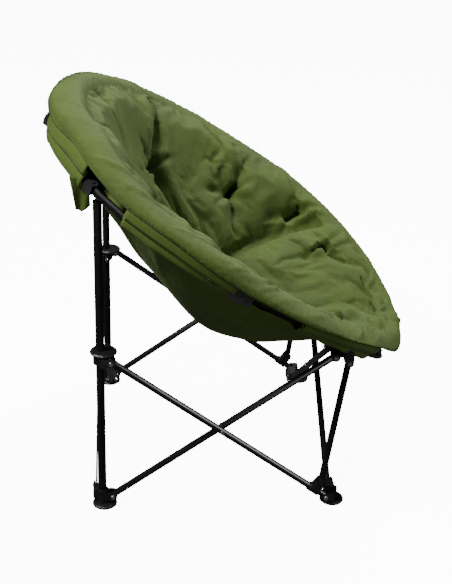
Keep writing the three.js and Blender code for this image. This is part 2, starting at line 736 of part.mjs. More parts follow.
// The hoop leans back: its own plane holds the back and front joints and the line across
const hoopCentre = backJoint.clone().add(frontJoint).multiplyScalar(1 / 2);
const hoopAlong = new THREE.Vector3().subVectors(frontJoint, backJoint).normalize();
const hoopNormal = new THREE.Vector3().crossVectors(hoopAlong, ACROSS).normalize();

function outward(point) {
  const arm = new THREE.Vector3().subVectors(point, hoopCentre);
  return arm.addScaledVector(hoopNormal, -arm.dot(hoopNormal)).normalize();
}

function lapped(point, hand) {
  const lap = point === frontJoint ? hoopLap + frontLapExtra : hoopLap;
  return point.clone().addScaledVector(outward(point), hand * lap / 2);
}

function onSide(point, side) {
  return new THREE.Vector3(point.x, side * point.y, point.z);
}

// At the side joints the rear tubes lap outside the front ones, and at the back and front joints
// the right-hand tubes lap outside the left-hand ones
function rearArc(side) {
  return new ArcPath(
    lapped(backJoint, -side), onSide(rearSaddle, side), lapped(onSide(sideJoint, side), 1),
    hoopEndOverrun);
}

function frontArc(side) {
  return new ArcPath(
    lapped(onSide(sideJoint, side), -1), onSide(frontSaddle, side), lapped(frontJoint, -side),
    hoopEndOverrun);
}

// The hoop's own line through the middles of its joints, without the laps
function rearLine(side) {
  return new ArcPath(backJoint, onSide(rearSaddle, side), onSide(sideJoint, side), 0);
}

function frontLine(side) {
  return new ArcPath(onSide(sideJoint, side), onSide(frontSaddle, side), frontJoint, 0);
}

function ringShape(radius, wall, sides) {
  const corner = (r, index) => {
    const angle = 2 * Math.PI * index / sides;
    return new THREE.Vector2(r * Math.cos(angle), r * Math.sin(angle));
  };
  const outer = Array.from({ length: sides }, (_, index) => corner(radius, index));
  const inner = Array.from({ length: sides }, (_, index) => corner(radius - wall, index));
  const shape = new THREE.Shape(outer);
  shape.holes.push(new THREE.Path(inner));
  return shape;
}

function hoopTube(path, saddle, swingAxis) {
  const options = { steps: hoopSteps, bevelEnabled: false, extrudePath: path };
  const tube = new THREE.ExtrudeGeometry(ringShape(hoopRadius, hoopWall, hoopSides), options);
  const hole = rod(holeRadius, -hoopRadius - cutOverrun, hoopRadius + cutOverrun, pinSides);
  hole.applyQuaternion(turnTo(swingAxis, FORWARD));
  hole.translate(saddle.x, saddle.y, saddle.z);
  const drilled = cut(tube, [hole]);
  drilled.translate(-saddle.x, -saddle.y, -saddle.z);
  return drilled;
}

// The channel's web stands midway between the hoop's line at rest and its line when folded
function webAt(path, saddle, swingAxis, swingAngle, hand, offset, half) {
  const angle = THREE.MathUtils.degToRad(swingAngle / 2) + hand * Math.PI / 2;
  return { side: path.tangentAt(saddle).applyAxisAngle(swingAxis, angle), offset, half };
}

// The swing pin stands nearly square to the hoop tube
function swingAxisFor(side, lean, heading) {
  const tilt = THREE.MathUtils.degToRad(lean);
  const way = THREE.MathUtils.degToRad(heading);
  return new THREE.Vector3(
    Math.sin(tilt) * Math.cos(way), side * Math.sin(tilt) * Math.sin(way), Math.cos(tilt));
}

function hingeAxisFor(side, yaw) {
  const angle = THREE.MathUtils.degToRad(yaw);
  return new THREE.Vector3(-side * Math.sin(angle), Math.cos(angle), 0);
}

// Housing on the outer tube of a joint: a channel over its outside, open towards the other tube,
// with a pin through it into the tube's wall
function jointHousing(tangent, out) {
  const inner = hoopRadius + runningGap;
  const outer = inner + housingWall;
  const half = housingLength / 2;
  const shell = block(-outer, outer, -housingReach, outer, -half, half);
  const bore = rod(inner, -half - cutOverrun, half + cutOverrun, tubeSides);
  const mouth = block(
    -inner, inner, -housingReach - cutOverrun, 0, -half - cutOverrun, half + cutOverrun);
  const channel = cut(shell, [bore, mouth]);
  const head = rod(headRadius, outer - pinHeadEdge, outer + pinHeadThickness, tubeSides);
  head.rotateX(-Math.PI / 2);
  const housing = joined([channel, head]);
  const z = tangent.clone().normalize();
  const y = out.clone().addScaledVector(z, -out.dot(z)).normalize();
  const x = new THREE.Vector3().crossVectors(y, z);
  const turn = new THREE.Quaternion().setFromRotationMatrix(
    new THREE.Matrix4().makeBasis(x, y, z));
  return { housing, turn };
}

for (const [name, side] of Object.entries(sideNames)) {
  const y = side * trackHalf;
  const footPlace = new THREE.Vector3(0, y, 0);
  const uprightPlace = new THREE.Vector3(-uprightBack, y, 0);
  const upright = pipe(uprightRadius, uprightWall, footGround, uprightHeight, roundSides);
  place('rear_upright_' + name, upright, satinBlack, uprightPlace);
  place('rear_foot_' + name, rearFoot(side), blackPlastic, footPlace);
  place('slider_' + name, slider(side), blackPlastic, footPlace);
  const frontPlace = new THREE.Vector3(frontFootForward, y, 0);
  place('front_foot_' + name, frontFoot(side), blackPlastic, frontPlace);

  // Side scissor: the inner tube climbs forward from the rear foot, the outer one backward
  const outerY = side * outerPlane;
  const innerLow = new THREE.Vector3(rearPivotX, y, pivotHeight);
  const innerHigh = new THREE.Vector3(frontPivotX, y, upperPivotHeight);
  const outerLow = new THREE.Vector3(frontPivotX, outerY, pivotHeight);
  const outerHigh = new THREE.Vector3(rearPivotX, outerY, upperPivotHeight);
  legTube('side_inner_tube_' + name, innerLow, innerHigh, ACROSS);
  legTube('side_outer_tube_' + name, outerLow, outerHigh, ACROSS);
  forkRivet('rivet_inner_tube_foot_' + name, innerLow, ACROSS);
  forkRivet('rivet_inner_tube_hub_' + name, innerHigh, ACROSS);
  forkRivet('rivet_outer_tube_foot_' + name, outerLow, ACROSS);
  forkRivet('rivet_outer_tube_slider_' + name, outerHigh, ACROSS);
  const middle = new THREE.Vector3(
    (rearPivotX + frontPivotX) / 2, (y + outerY) / 2, (pivotHeight + upperPivotHeight) / 2);
  crossRivet('rivet_side_cross_' + name, middle, ACROSS);

  // Hub, strut and sleeve at the front
  place('front_hub_' + name, frontHub(side), blackPlastic, frontPlace);
  const climb = new THREE.Vector3().subVectors(outerHigh, outerLow).normalize();
  const ahead = new THREE.Vector3().crossVectors(ACROSS, climb);
  if (ahead.z < 0) {
    ahead.negate();
  }
  const strutLow = outerLow.clone()
    .addScaledVector(climb, strutFootUp).addScaledVector(ahead, strutFootOff);
  const strutHigh = new THREE.Vector3(
    frontPivotX + strutTopForward, outerY, upperPivotHeight - strutTopDrop);
  legTube('front_strut_' + name, strutLow, strutHigh, ACROSS, [0, 1]);
  forkRivet('screw_strut_hub_' + name, strutHigh, ACROSS);
  place('strut_sleeve_' + name, strutSleeve(), blackPlastic, outerLow, turnTo(climb, ACROSS));

  // Plate and bracket on the upright, and the rear quarter of the hoop
  const uprightTop = new THREE.Vector3(-uprightBack, y, uprightHeight);
  const plateAxis = hingeAxisFor(side, plateYaw);
  const plateTurn = turnTo(UP, new THREE.Vector3().crossVectors(plateAxis, UP));
  place('upright_plate_' + name, uprightPlate(), silver, uprightTop, plateTurn);
  const eyelet = uprightTop.clone().addScaledVector(UP, eyeletRise);
  const rearPath = rearArc(side);
  const rearPin = onSide(rearSaddle, side);
  const rearSwing = swingAxisFor(side, rearPinLean, rearPinHeading);
  const rearWeb = webAt(
    rearLine(side), rearPin, rearSwing, -side * rearSwingAngle, side, rearWebOffset, rearWebHalf);
  const rearBracket = hoopBracket(
    eyelet, rearPin, plateAxis, rearSwing, rearWeb, plateThickness / 2);
  place('rear_bracket_' + name, rearBracket, charcoal, eyelet);
  place('hoop_rear_' + name, hoopTube(rearPath, rearPin, rearSwing), satinBlack, rearPin);

  // Bracket on the hub, and the front quarter of the hoop
  const frontPath = frontArc(side);
  const frontPin = onSide(frontSaddle, side);
  const frontSwing = swingAxisFor(side, frontPinLean, frontPinHeading);
  const frontWeb = webAt(
    frontLine(side), frontPin, frontSwing, -side * frontSwingAngle, side, frontWebOffset, frontWebHalf);
  const hubPin = onSide(frontHinge, side);
  const hingeAxis = hingeAxisFor(side, frontHingeYaw);
  const frontBracket = hoopBracket(
    hubPin, frontPin, hingeAxis, frontSwing, frontWeb, hubTabThickness / 2);
  place('front_bracket_' + name, frontBracket, charcoal, hubPin);
  place('hoop_front_' + name, hoopTube(frontPath, frontPin, frontSwing), satinBlack, frontPin);

  // Housing of the side joint, on the rear quarter's end
  const sideEnd = lapped(onSide(sideJoint, side), 1);
  const sideHousing = jointHousing(rearPath.tangentAt(sideEnd), outward(sideEnd));
  place('joint_housing_' + name, sideHousing.housing, charcoal, sideEnd, sideHousing.turn);
}

// Housings of the back and front joints, on the right-hand quarters' ends
const backEnd = lapped(backJoint, 1);
const backHousing = jointHousing(
  rearArc(sideNames.right).tangentAt(backEnd), outward(backEnd));
place('joint_housing_back', backHousing.housing, blackPlastic, backEnd, backHousing.turn);
const frontEnd = lapped(frontJoint, 1);
const frontHousing = jointHousing(
  frontArc(sideNames.right).tangentAt(frontEnd), outward(frontEnd));
place('joint_housing_front', frontHousing.housing, blackPlastic, frontEnd, frontHousing.turn);

// Cross scissors at the rear and the front: one tube of each leans to the left, one to the right
function crossTube(end, x, climb) {
  const low = new THREE.Vector3(x, -climb * crossReach, pivotHeight);
  const high = new THREE.Vector3(x, climb * crossReach, upperPivotHeight);
  const name = end + '_cross_tube_' + (climb > 0 ? 'up_left' : 'up_right');
  legTube(name, low, high, FORWARD);
  const rivet = 'rivet_' + end + '_cross_' + (climb > 0 ? 'up_left' : 'up_right');
  forkRivet(rivet + '_foot', low, FORWARD);
  forkRivet(rivet + '_top', high, FORWARD);
}
crossTube('rear', rearCrossX[0], sideNames.right);
crossTube('rear', rearCrossX[1], sideNames.left);
crossTube('front', frontCrossX[0], sideNames.left);
crossTube('front', frontCrossX[1], sideNames.right);
for (const [end, planes] of Object.entries({ rear: rearCrossX, front: frontCrossX })) {
  const middle = new THREE.Vector3(
    (planes[0] + planes[1]) / 2, 0, (pivotHeight + upperPivotHeight) / 2);
  crossRivet('rivet_' + end + '_cross', middle, FORWARD);
}

// Padded seat. Its section runs from inside the hoop over the hoop's channel to the skirt outside,
// up round the rim, down into the bowl and back along the underside.
function padWeights(point) {
  const arm = new THREE.Vector3().subVectors(point, hoopCentre);
  const along = arm.dot(hoopAlong) / (frontJoint.distanceTo(backJoint) / 2);
  const across = arm.y / sideJoint.y;
  const bearing = Math.atan2(Math.abs(across), along);
  const front = Math.max(0, Math.cos(bearing)) ** 2;
  const back = Math.max(0, -Math.cos(bearing)) ** 2;
  return { back, side: 1 - front - back, front };
}

function blendedBy(from, to, share) {
  return from * (1 - share) + to * share;
}

function blended(sizes, weights) {
  return sizes.back * weights.back + sizes.side * weights.side + sizes.front * weights.front;
}

// 1 where the skirt is cut away round a joint or a rear bracket, 0 well clear of them
function cutAway(point) {
  const places = [backJoint, frontJoint];
  for (const side of Object.values(sideNames)) {
    places.push(onSide(sideJoint, side), onSide(rearSaddle, side));
  }
  const nearest = Math.min(...places.map((spot) => spot.distanceTo(point)));
  return THREE.MathUtils.clamp((cutAwayReach - nearest) / cutAwayFade, 0, 1);
}

// How far the underside is drawn up, as a share: over the rear brackets, and all round the front
function drawnUp(point, weights) {
  const gaps = Object.values(sideNames).map((side) => onSide(rearSaddle, side).distanceTo(point));
  const rear = (rearDrawReach - Math.min(...gaps)) / cutAwayFade;
  const front = (weights.front - frontDrawStart) / (frontDrawFull - frontDrawStart);
  return {
    rear: THREE.MathUtils.clamp(rear, 0, 1),
    front: THREE.MathUtils.clamp(front, 0, 1),
  };
}

// How far the rim has sunk at a place on the hoop
function slumpAt(point) {
  const along = new THREE.Vector3().subVectors(point, hoopCentre).dot(hoopAlong);
  const share = THREE.MathUtils.clamp((along - slumpStart) / (slumpFull - slumpStart), 0, 1);
  const aside = THREE.MathUtils.clamp(sideNames.right * point.y / slumpEase, 0, 1);
  return slumpDepth * share * aside;
}

// Depth of the underside below the hoop's plane, by the share of the way out from its lowest point
function slingShare(share) {
  const full = Math.hypot(1, bowlRoundShare) - bowlRoundShare;
  return (Math.hypot(share, bowlRoundShare) - bowlRoundShare) / full;
}

function tuftDip(along, across) {
  let dip = 0;
  for (const [tuftAlong, tuftAcross] of tuftPlaces) {
    for (const side of Object.values(sideNames)) {
      const gap = Math.hypot(along - tuftAlong, across - side * tuftAcross);
      dip = Math.max(dip, tuftDepth * Math.exp(-((gap / tuftSpread) ** 2)));
    }
  }
  return dip;
}

function padSection(point) {
  const weights = padWeights(point);
  const crest = blended(crestRise, weights) - slumpAt(point);
  const rim = blended(rimReach, weights);
  const roof = channelRise + channelRiseFront * weights.front;
  const gone = 1 - (1 - weights.front) * (1 - cutAway(point));
  const hem = -skirtDrop * (1 - weights.front) * (1 - gone) + (roof - skirtThickness) * gone;
  const outer = channelHalf + skirtThickness;
  const out = outward(point);
  const arm = new THREE.Vector3().subVectors(point, hoopCentre);
  const lift = arm.dot(hoopNormal);
  const flat = point.clone().addScaledVector(hoopNormal, -lift);
  const low = hoopCentre.clone().addScaledVector(hoopAlong, bowlShift);
  const halfWidth = arm.addScaledVector(hoopNormal, -lift).length();
  const drawn = drawnUp(point, weights);
  const hemDrawn = Math.max(drawn.rear, drawn.front);
  const innerHem = blendedBy(-skirtDrop - skirtThickness, roof - skirtThickness, hemDrawn);
  const rimPoints = [
    [-channelHalf - skirtThickness, innerHem],
    [-channelHalf, roof],
    [channelHalf, roof],
    [channelHalf, hem],
    [outer, hem],
    [outer + (rim - outer) * lipOutShare, roof + (crest - roof) * lipUpShare],
    [rim, roof + (crest - roof) * bulgeUpShare],
    [rim * shoulderOutShare, roof + (crest - roof) * shoulderUpShare],
    [rim * crownOutShare, crest],
    [-rimInner * crownInShare, crest * innerCrownShare],
    [-rimInner, crest * innerEdgeShare],
  ];
  const section = rimPoints.map(([a, b]) => (
    point.clone().addScaledVector(out, a).addScaledVector(hoopNormal, b)));
  const underside = (share) => lift * share * share - bowlDepth * (1 - slingShare(share));
  const edgeShare = 1 - rimInner / halfWidth;
  const edgeThickness = crest * innerEdgeShare + lift - underside(edgeShare) - bowlThickness;
  for (const share of bowlShares) {
    const spot = low.clone().lerp(flat, share);
    const inPlane = new THREE.Vector3().subVectors(spot, hoopCentre);
    const dip = tuftDip(inPlane.dot(hoopAlong), inPlane.y);
    const thickness = bowlThickness + edgeThickness * (share / edgeShare) ** 3;
    section.push(spot.addScaledVector(hoopNormal, underside(share) + thickness - dip));
  }
  for (const [index, share] of slingShares.entries()) {
    const spot = low.clone().lerp(flat, share);
    const draw = rearDraws[index] * drawn.rear + frontDraws[index] * drawn.front;
    section.push(spot.addScaledVector(hoopNormal, underside(share) + draw));
  }
  return section;
}

function seatPad() {
  const stations = [];
  for (const side of [sideNames.right, sideNames.left]) {
    const half = [];
    for (const path of [rearLine(side), frontLine(side)]) {
      for (let step = 0; step < padSteps; step += 1) {
        half.push(path.getPoint(step / padSteps));
      }
    }
    if (side === sideNames.right) {
      stations.push(...half);
    } else {
      half.push(frontJoint.clone());
      stations.push(...half.slice(1).reverse());
    }
  }
  const sections = stations.map(padSection);
  const rows = sections[0].length;
  const positions = sections.flat().flatMap((point) => [point.x, point.y, point.z]);
  const index = [];
  const at = (station, row) => (station % sections.length) * rows + row;
  const crownRow = rows - slingShares.length - 1;
  for (let station = 0; station < sections.length; station += 1) {
    for (let row = 0; row < rows; row += 1) {
      const next = (row + 1) % rows;
      if (row !== crownRow) {
        const a = at(station, row);
        const b = at(station + 1, row);
        const c = at(station + 1, next);
        const d = at(station, next);
        index.push(a, b, c, a, c, d);
      }
    }
  }
  const low = hoopCentre.clone().addScaledVector(hoopAlong, bowlShift);
  const bottom = low.clone().addScaledVector(hoopNormal, -bowlDepth);
  const top = bottom.clone().addScaledVector(hoopNormal, bowlThickness);
  positions.push(top.x, top.y, top.z, bottom.x, bottom.y, bottom.z);
  const topIndex = sections.length * rows;
  for (let station = 0; station < sections.length; station += 1) {
    index.push(at(station, crownRow), at(station + 1, crownRow), topIndex);
    index.push(at(station, crownRow + 1), topIndex + 1, at(station + 1, crownRow + 1));
  }
  const geometry = new THREE.BufferGeometry();
  geometry.setAttribute('position', new THREE.Float32BufferAttribute(positions, 3));
  geometry.setIndex(index);
  geometry.computeVertexNormals();
  geometry.translate(-low.x, -low.y, -low.z);
  return { geometry, low };
}
const pad = seatPad();
place('seat_pad', pad.geometry, mossFabric, pad.low);

const bounds = new THREE.Box3().setFromObject(chair);
frame.position.x = -(bounds.min.x + bounds.max.x) / 2;

export default chair;
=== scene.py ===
"""Folding saucer chair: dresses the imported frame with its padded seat, cloth underside and finishes.

Everything is in metres. +X is the way the sitter faces, +Y the sitter's left and +Z up.
place() takes millimetres from the floor midway between the two rear feet.
"""

import json
import math
import random

import bpy
import numpy as np
from mathutils import Matrix, Vector, noise


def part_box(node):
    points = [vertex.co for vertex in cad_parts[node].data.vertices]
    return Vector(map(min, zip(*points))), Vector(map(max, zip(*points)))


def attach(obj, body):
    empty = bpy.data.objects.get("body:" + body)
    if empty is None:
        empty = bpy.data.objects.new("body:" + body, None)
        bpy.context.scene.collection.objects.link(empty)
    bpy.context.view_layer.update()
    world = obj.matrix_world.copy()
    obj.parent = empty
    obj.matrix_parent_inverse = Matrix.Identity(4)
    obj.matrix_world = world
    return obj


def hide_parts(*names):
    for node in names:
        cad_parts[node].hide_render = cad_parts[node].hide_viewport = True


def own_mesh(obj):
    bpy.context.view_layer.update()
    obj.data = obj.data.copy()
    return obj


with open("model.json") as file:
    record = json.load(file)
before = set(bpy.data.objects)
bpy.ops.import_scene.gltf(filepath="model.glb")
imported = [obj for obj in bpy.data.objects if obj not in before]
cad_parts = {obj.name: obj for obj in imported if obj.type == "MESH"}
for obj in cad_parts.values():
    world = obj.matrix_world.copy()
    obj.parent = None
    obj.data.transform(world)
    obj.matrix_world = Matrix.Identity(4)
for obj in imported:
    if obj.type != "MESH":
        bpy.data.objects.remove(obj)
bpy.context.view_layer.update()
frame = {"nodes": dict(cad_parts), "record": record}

MOUNTS = {mount["name"]: Vector(mount["pos_m"]) for mount in frame["record"]["mounts"]}
REAR_FEET = (MOUNTS["rear_foot_right_base"] + MOUNTS["rear_foot_left_base"]) / 2
ROOT = "right_rear_leg"
MM = 0.001


def place(x, y, z):
    """A place on the chair, in millimetres from the rear feet, as a point in the frame."""
    return np.array([x * MM + REAR_FEET.x, y * MM, z * MM])


# Camera, as fitted to the photograph: place in millimetres, angles and lens
CAMERA_FORWARD = 75.1
CAMERA_ACROSS = -2375.2
CAMERA_HEIGHT = 1526.9
CAMERA_DOWN = math.radians(25.02)
CAMERA_YAW = math.radians(5.30)
CAMERA_ROLL = math.radians(2.09)
CAMERA_LENS = 65.8
CAMERA_SENSOR = 36

# Hoop's joints and saddles, on the left-hand side
BACK_JOINT = place(-110, 0, 840)
FRONT_JOINT = place(673, 0, 257)
SIDE_JOINT = place(285, 419, 606)
REAR_SADDLE = place(-17, 295, 790)
FRONT_SADDLE = place(545, 318, 430)
MIRROR = np.array([1.0, -1.0, 1.0])

# Padded seat: rises are above the hoop, square to its plane, and reaches are out from it
CREST_RISE = {"back": 0.094, "side": 0.093, "front": 0.098}
RIM_REACH = {"back": 0.049, "side": 0.037, "front": 0.033}
RIM_INNER = 0.050
LIP_OUT = 0.030
# Round the hoop from the back (0) to the front (0.5): how high the rim's outer edge lies over it
LIP_RISE = [(0, 0.020), (0.05, 0.032), (0.083, 0.046), (0.11, 0.036), (0.145, 0.024), (0.19, 0.028),
            (0.25, 0.014), (0.30, 0.014), (0.35, 0.030), (0.38, 0.038), (0.44, 0.034), (0.5, 0.030)]
# How far the rim has slumped on the sitter's right, over the same range
SLUMP = [(0, 0), (0.09, 0), (0.16, 0.036), (0.22, 0.042), (0.28, 0.060), (0.35, 0.060),
         (0.43, 0.042), (0.5, 0)]
BOWL_DEPTH = 0.203
BOWL_SHIFT = 0.105
BOWL_THICKNESS = 0.045
BOWL_ROUND = 0.12
# Least height of the padding's underside over the hoop, and its gap to the hanging cloth
UNDER_RISE = 0.026
UNDER_GAP = 0.0055

# How finely the seat is cut, and how often rings of values are smoothed
STATIONS = 360
RIM_SAMPLES = 50
BOWL_SAMPLES = 84
ARC_SAMPLES = 400
RING_PASSES = 60
SLUMP_PASSES = 12

random.seed(7)


# Hoop and its plane
def circle_arc(start, middle, end, count):
    """Points on the circle through three points, from the first to the last."""
    ab, ac = middle - start, end - start
    normal = np.cross(ab, ac)
    to_centre = (np.cross(normal, ab) * (ac @ ac) + np.cross(ac, normal) * (ab @ ab))
    to_centre /= 2 * (normal @ normal)
    centre = start + to_centre
    radius = np.linalg.norm(to_centre)
    first = -to_centre / radius
    second = np.cross(normal / np.linalg.norm(normal), first)
    arm = end - centre
    angle = math.atan2(arm @ second, arm @ first) % (2 * math.pi)
    turns = np.linspace(0, angle, count)[:, None]
    return centre + radius * (np.cos(turns) * first + np.sin(turns) * second)


HOOP_CENTRE = (BACK_JOINT + FRONT_JOINT) / 2
HALF_LENGTH = np.linalg.norm(FRONT_JOINT - BACK_JOINT) / 2
ALONG = (FRONT_JOINT - BACK_JOINT) / (2 * HALF_LENGTH)
ACROSS = np.array([0.0, 1.0, 0.0])
NORMAL = np.cross(ALONG, ACROSS)


def smoothed_ring(points, passes):
    """A closed ring of points, each moved part of the way to the middle of its neighbours."""
    for _ in range(passes):
        points = (np.roll(points, 1, 0) + 2 * points + np.roll(points, -1, 0)) / 4
    return points


def hoop_ring(count, passes):
    """Evenly spaced points round the hoop, from the back by the right-hand side to the front."""
    right = np.vstack([
        circle_arc(BACK_JOINT, REAR_SADDLE * MIRROR, SIDE_JOINT * MIRROR, ARC_SAMPLES)[:-1],
        circle_arc(SIDE_JOINT * MIRROR, FRONT_SADDLE * MIRROR, FRONT_JOINT, ARC_SAMPLES)])
    left = (right * MIRROR)[::-1][1:]
    ring = np.vstack([right, left])
    steps = np.linalg.norm(np.diff(ring, axis=0), axis=1)
    run = np.concatenate([[0], np.cumsum(steps)])
    wanted = np.arange(count) / count * run[-1]
    even = np.stack([np.interp(wanted, run, ring[:, axis]) for axis in range(3)], axis=1)
    return smoothed_ring(even, passes), run[-1]


RING, RING_LENGTH = hoop_ring(STATIONS, RING_PASSES)
ARC = np.arange(STATIONS)[None, :] / STATIONS * RING_LENGTH


def shortest_way(away):
    """Lengths round the ring, each taken the shorter way round."""
    return (away + RING_LENGTH / 2) % RING_LENGTH - RING_LENGTH / 2


def ring_facts(ring):
    """Outward direction, lift over the hoop's plane and front, side and back weights."""
    arm = ring - HOOP_CENTRE
    lift = arm @ NORMAL
    flat = arm - lift[:, None] * NORMAL
    half_width = np.linalg.norm(flat, axis=1)
    out = flat / half_width[:, None]
    bearing = np.arctan2(np.abs(arm[:, 1]) / SIDE_JOINT[1], arm @ ALONG / HALF_LENGTH)
    front = np.maximum(0, np.cos(bearing)) ** 2
    back = np.maximum(0, -np.cos(bearing)) ** 2
    return out, lift, half_width, {"front": front, "back": back, "side": 1 - front - back}


OUT, LIFT, HALF_WIDTH, WEIGHTS = ring_facts(RING)


def blended(sizes):
    """A size at each station, from its sizes at the back, side and front."""
    return sum(sizes[key] * WEIGHTS[key] for key in sizes)


def round_the_hoop(profile, passes=4):
    """A value at each station, from pairs of share round the hoop and size, alike on both sides."""
    share = np.arange(STATIONS) / STATIONS
    share = np.minimum(share, 1 - share)
    shares, sizes = zip(*profile)
    return smoothed_ring(np.interp(share, shares, sizes), passes)


RIGHT_HAND = np.arange(STATIONS) < STATIONS / 2
LIP = round_the_hoop(LIP_RISE)
SLUMPED = smoothed_ring(np.where(RIGHT_HAND, round_the_hoop(SLUMP), 0), SLUMP_PASSES)
CREST = blended(CREST_RISE) - SLUMPED
RIM = blended(RIM_REACH)


# Rows of points, each with one point at every station round the hoop. Normals are turned to point
# outwards at this row
PROBE_ROW = 5


def spline(points, count):
    """Smooth rows through a few rows of points."""
    points = np.asarray(points)
    lengths = np.linalg.norm(np.diff(points, axis=0), axis=2).mean(1)
    knots = np.concatenate([[0], np.cumsum(lengths)])
    slopes = np.gradient(points, knots, axis=0)
    wanted = np.linspace(0, knots[-1], count)
    cell = np.clip(np.searchsorted(knots, wanted, side="right") - 1, 0, len(knots) - 2)
    width = (knots[cell + 1] - knots[cell])[:, None, None]
    t = ((wanted - knots[cell]) / (knots[cell + 1] - knots[cell]))[:, None, None]
    h00 = 2 * t ** 3 - 3 * t ** 2 + 1
    h10 = t ** 3 - 2 * t ** 2 + t
    h01 = -2 * t ** 3 + 3 * t ** 2
    h11 = t ** 3 - t ** 2
    return (h00 * points[cell] + h10 * width * slopes[cell]
            + h01 * points[cell + 1] + h11 * width * slopes[cell + 1])


def run_down(rows):
    """How far each point lies from the first row, measured along its section."""
    steps = np.linalg.norm(np.diff(rows, axis=0), axis=2)
    return np.vstack([np.zeros(STATIONS), np.cumsum(steps, axis=0)])


def row_normals(rows):
    """Outward direction of the surface at each point of the rows."""
    down = np.gradient(rows, axis=0)
    round_ring = np.roll(rows, -1, 1) - np.roll(rows, 1, 1)
    normals = np.cross(round_ring, down)
    normals /= np.linalg.norm(normals, axis=2)[..., None] + 1e-12
    if normals[PROBE_ROW, 0] @ OUT[0] < 0:
        normals = -normals
    return normals


def cloth_noise(rows, scale, size):
    """Smooth lumps, so many to a metre and so high, at each point of the rows."""
    flat = rows.reshape(-1, 3)
    values = [noise.noise(Vector(point * scale)) for point in flat]
    return size * np.array(values).reshape(rows.shape[:2])


def from_hoop(out, rise):
    """Points beside the hoop: so far out from it, and so far above it."""
    return RING + np.reshape(out, (-1, 1)) * OUT + np.reshape(rise, (-1, 1)) * NORMAL


BOWL_LOW = HOOP_CENTRE + BOWL_SHIFT * ALONG
FLAT = RING - LIFT[:, None] * NORMAL


def sling_share(share):
    """Share of the bowl's depth, by the way out: round at the bottom and straight further out."""
    full = math.hypot(1, BOWL_ROUND) - BOWL_ROUND
    return (np.hypot(share, BOWL_ROUND) - BOWL_ROUND) / full


def underside(share):
    """Height of the cloth over the hoop's plane before anything draws it up, by the way out."""
    return LIFT * share ** 2 - BOWL_DEPTH * (1 - sling_share(share))


def in_bowl(share, rise):
    """Points on the way from the bowl's lowest point, at share 0, out to under the hoop, at 1."""
    spot = BOWL_LOW + share * (FLAT - BOWL_LOW)
    return spot + np.reshape(rise, (-1, 1)) * NORMAL


# How far the cloth is drawn up over the rear brackets and all round the front, by the way out
REAR_DRAW = [(0.2, 0), (0.56, 0), (0.72, 0.008), (0.86, 0.018), (0.93, 0.026), (1, 0.026)]
FRONT_DRAW = [(0.2, 0), (0.38, 0), (0.56, 0.020), (0.72, 0.044), (0.86, 0.054), (0.93, 0.036),
              (1, 0.036)]
REAR_DRAW_REACH = 0.090
REAR_DRAW_FADE = 0.035
FRONT_DRAW_START = 0.16
FRONT_DRAW_FULL = 0.3
# The padding is at least this thick, up to this share of the way from the bottom to the hoop
LEAST_PADDING = 0.011
PADDED_SHARE = 0.97
PADDED_FADE_SHARE = 0.04


def clear_of_brackets():
    """Shares of the two draws at each station."""
    gaps = np.minimum(*[np.linalg.norm(RING - REAR_SADDLE * side, axis=1)
                        for side in (np.ones(3), MIRROR)])
    rear = np.clip((REAR_DRAW_REACH - gaps) / REAR_DRAW_FADE, 0, 1)
    span = FRONT_DRAW_FULL - FRONT_DRAW_START
    return rear, np.clip((WEIGHTS["front"] - FRONT_DRAW_START) / span, 0, 1)


REAR_PULL, FRONT_PULL = clear_of_brackets()


def cloth_height(share):
    """Height of the hanging cloth over the hoop's plane, by the way out from its lowest point."""
    rear = REAR_PULL * np.interp(share, *zip(*REAR_DRAW))
    return underside(share) + rear + FRONT_PULL * np.interp(share, *zip(*FRONT_DRAW))


def kept_above_cloth(rows):
    """Rows of points, with those inside the bowl lifted clear of the cloth under them."""
    arm = rows - HOOP_CENTRE
    height = arm @ NORMAL
    flat = rows - height[..., None] * NORMAL
    share = np.linalg.norm(flat - BOWL_LOW, axis=2) / np.linalg.norm(FLAT - BOWL_LOW, axis=1)
    short = cloth_height(share) + LEAST_PADDING - height
    inside = np.clip((PADDED_SHARE - share) / PADDED_FADE_SHARE, 0, 1)
    return rows + (np.maximum(short, 0) * inside)[..., None] * NORMAL


# Meshes
def mesh_object(name, points, faces, material, smooth=True):
    """A new piece in the scene, in one material."""
    mesh = bpy.data.meshes.new(name)
    mesh.from_pydata([tuple(point) for point in points], [], faces)
    mesh.validate()
    mesh.polygons.foreach_set("use_smooth", [smooth] * len(mesh.polygons))
    piece = bpy.data.objects.new(name, mesh)
    bpy.context.scene.collection.objects.link(piece)
    mesh.materials.append(material)
    return piece


def vertex_places(mesh):
    """A mesh's vertices as rows of three."""
    points = np.empty(len(mesh.vertices) * 3)
    mesh.vertices.foreach_get("co", points)
    return points.reshape(-1, 3)


def strip(low, high, count):
    """Faces between two rows that each go once round, given by the number of their first point."""
    faces = []
    for station in range(count):
        beside = (station + 1) % count
        faces.append((low + station, low + beside, high + beside, high + station))
    return faces


def loft(rows):
    """Faces between rows that each go once round, with the last row joined to the first."""
    count = len(rows[0])
    faces = []
    for row in range(len(rows)):
        faces += strip(row * count, (row + 1) % len(rows) * count, count)
    return faces


def result_mesh(piece):
    """A new mesh of the piece as its modifiers leave it."""
    graph = bpy.context.evaluated_depsgraph_get()
    return bpy.data.meshes.new_from_object(piece.evaluated_get(graph))


def thickened(piece, thickness):
    """A sheet given its thickness, half on each side."""
    modifier = piece.modifiers.new("thickness", "SOLIDIFY")
    modifier.thickness = thickness
    modifier.offset = 0
    result = result_mesh(piece)
    piece.modifiers.clear()
    piece.data = result
    return piece


# Materials. The weave's bands take this length to a radian, and Blender's band texture has this
# many radians to a metre at a scale of 1
WEAVE_RADIAN = 0.0009
BAND_RADIANS = 20


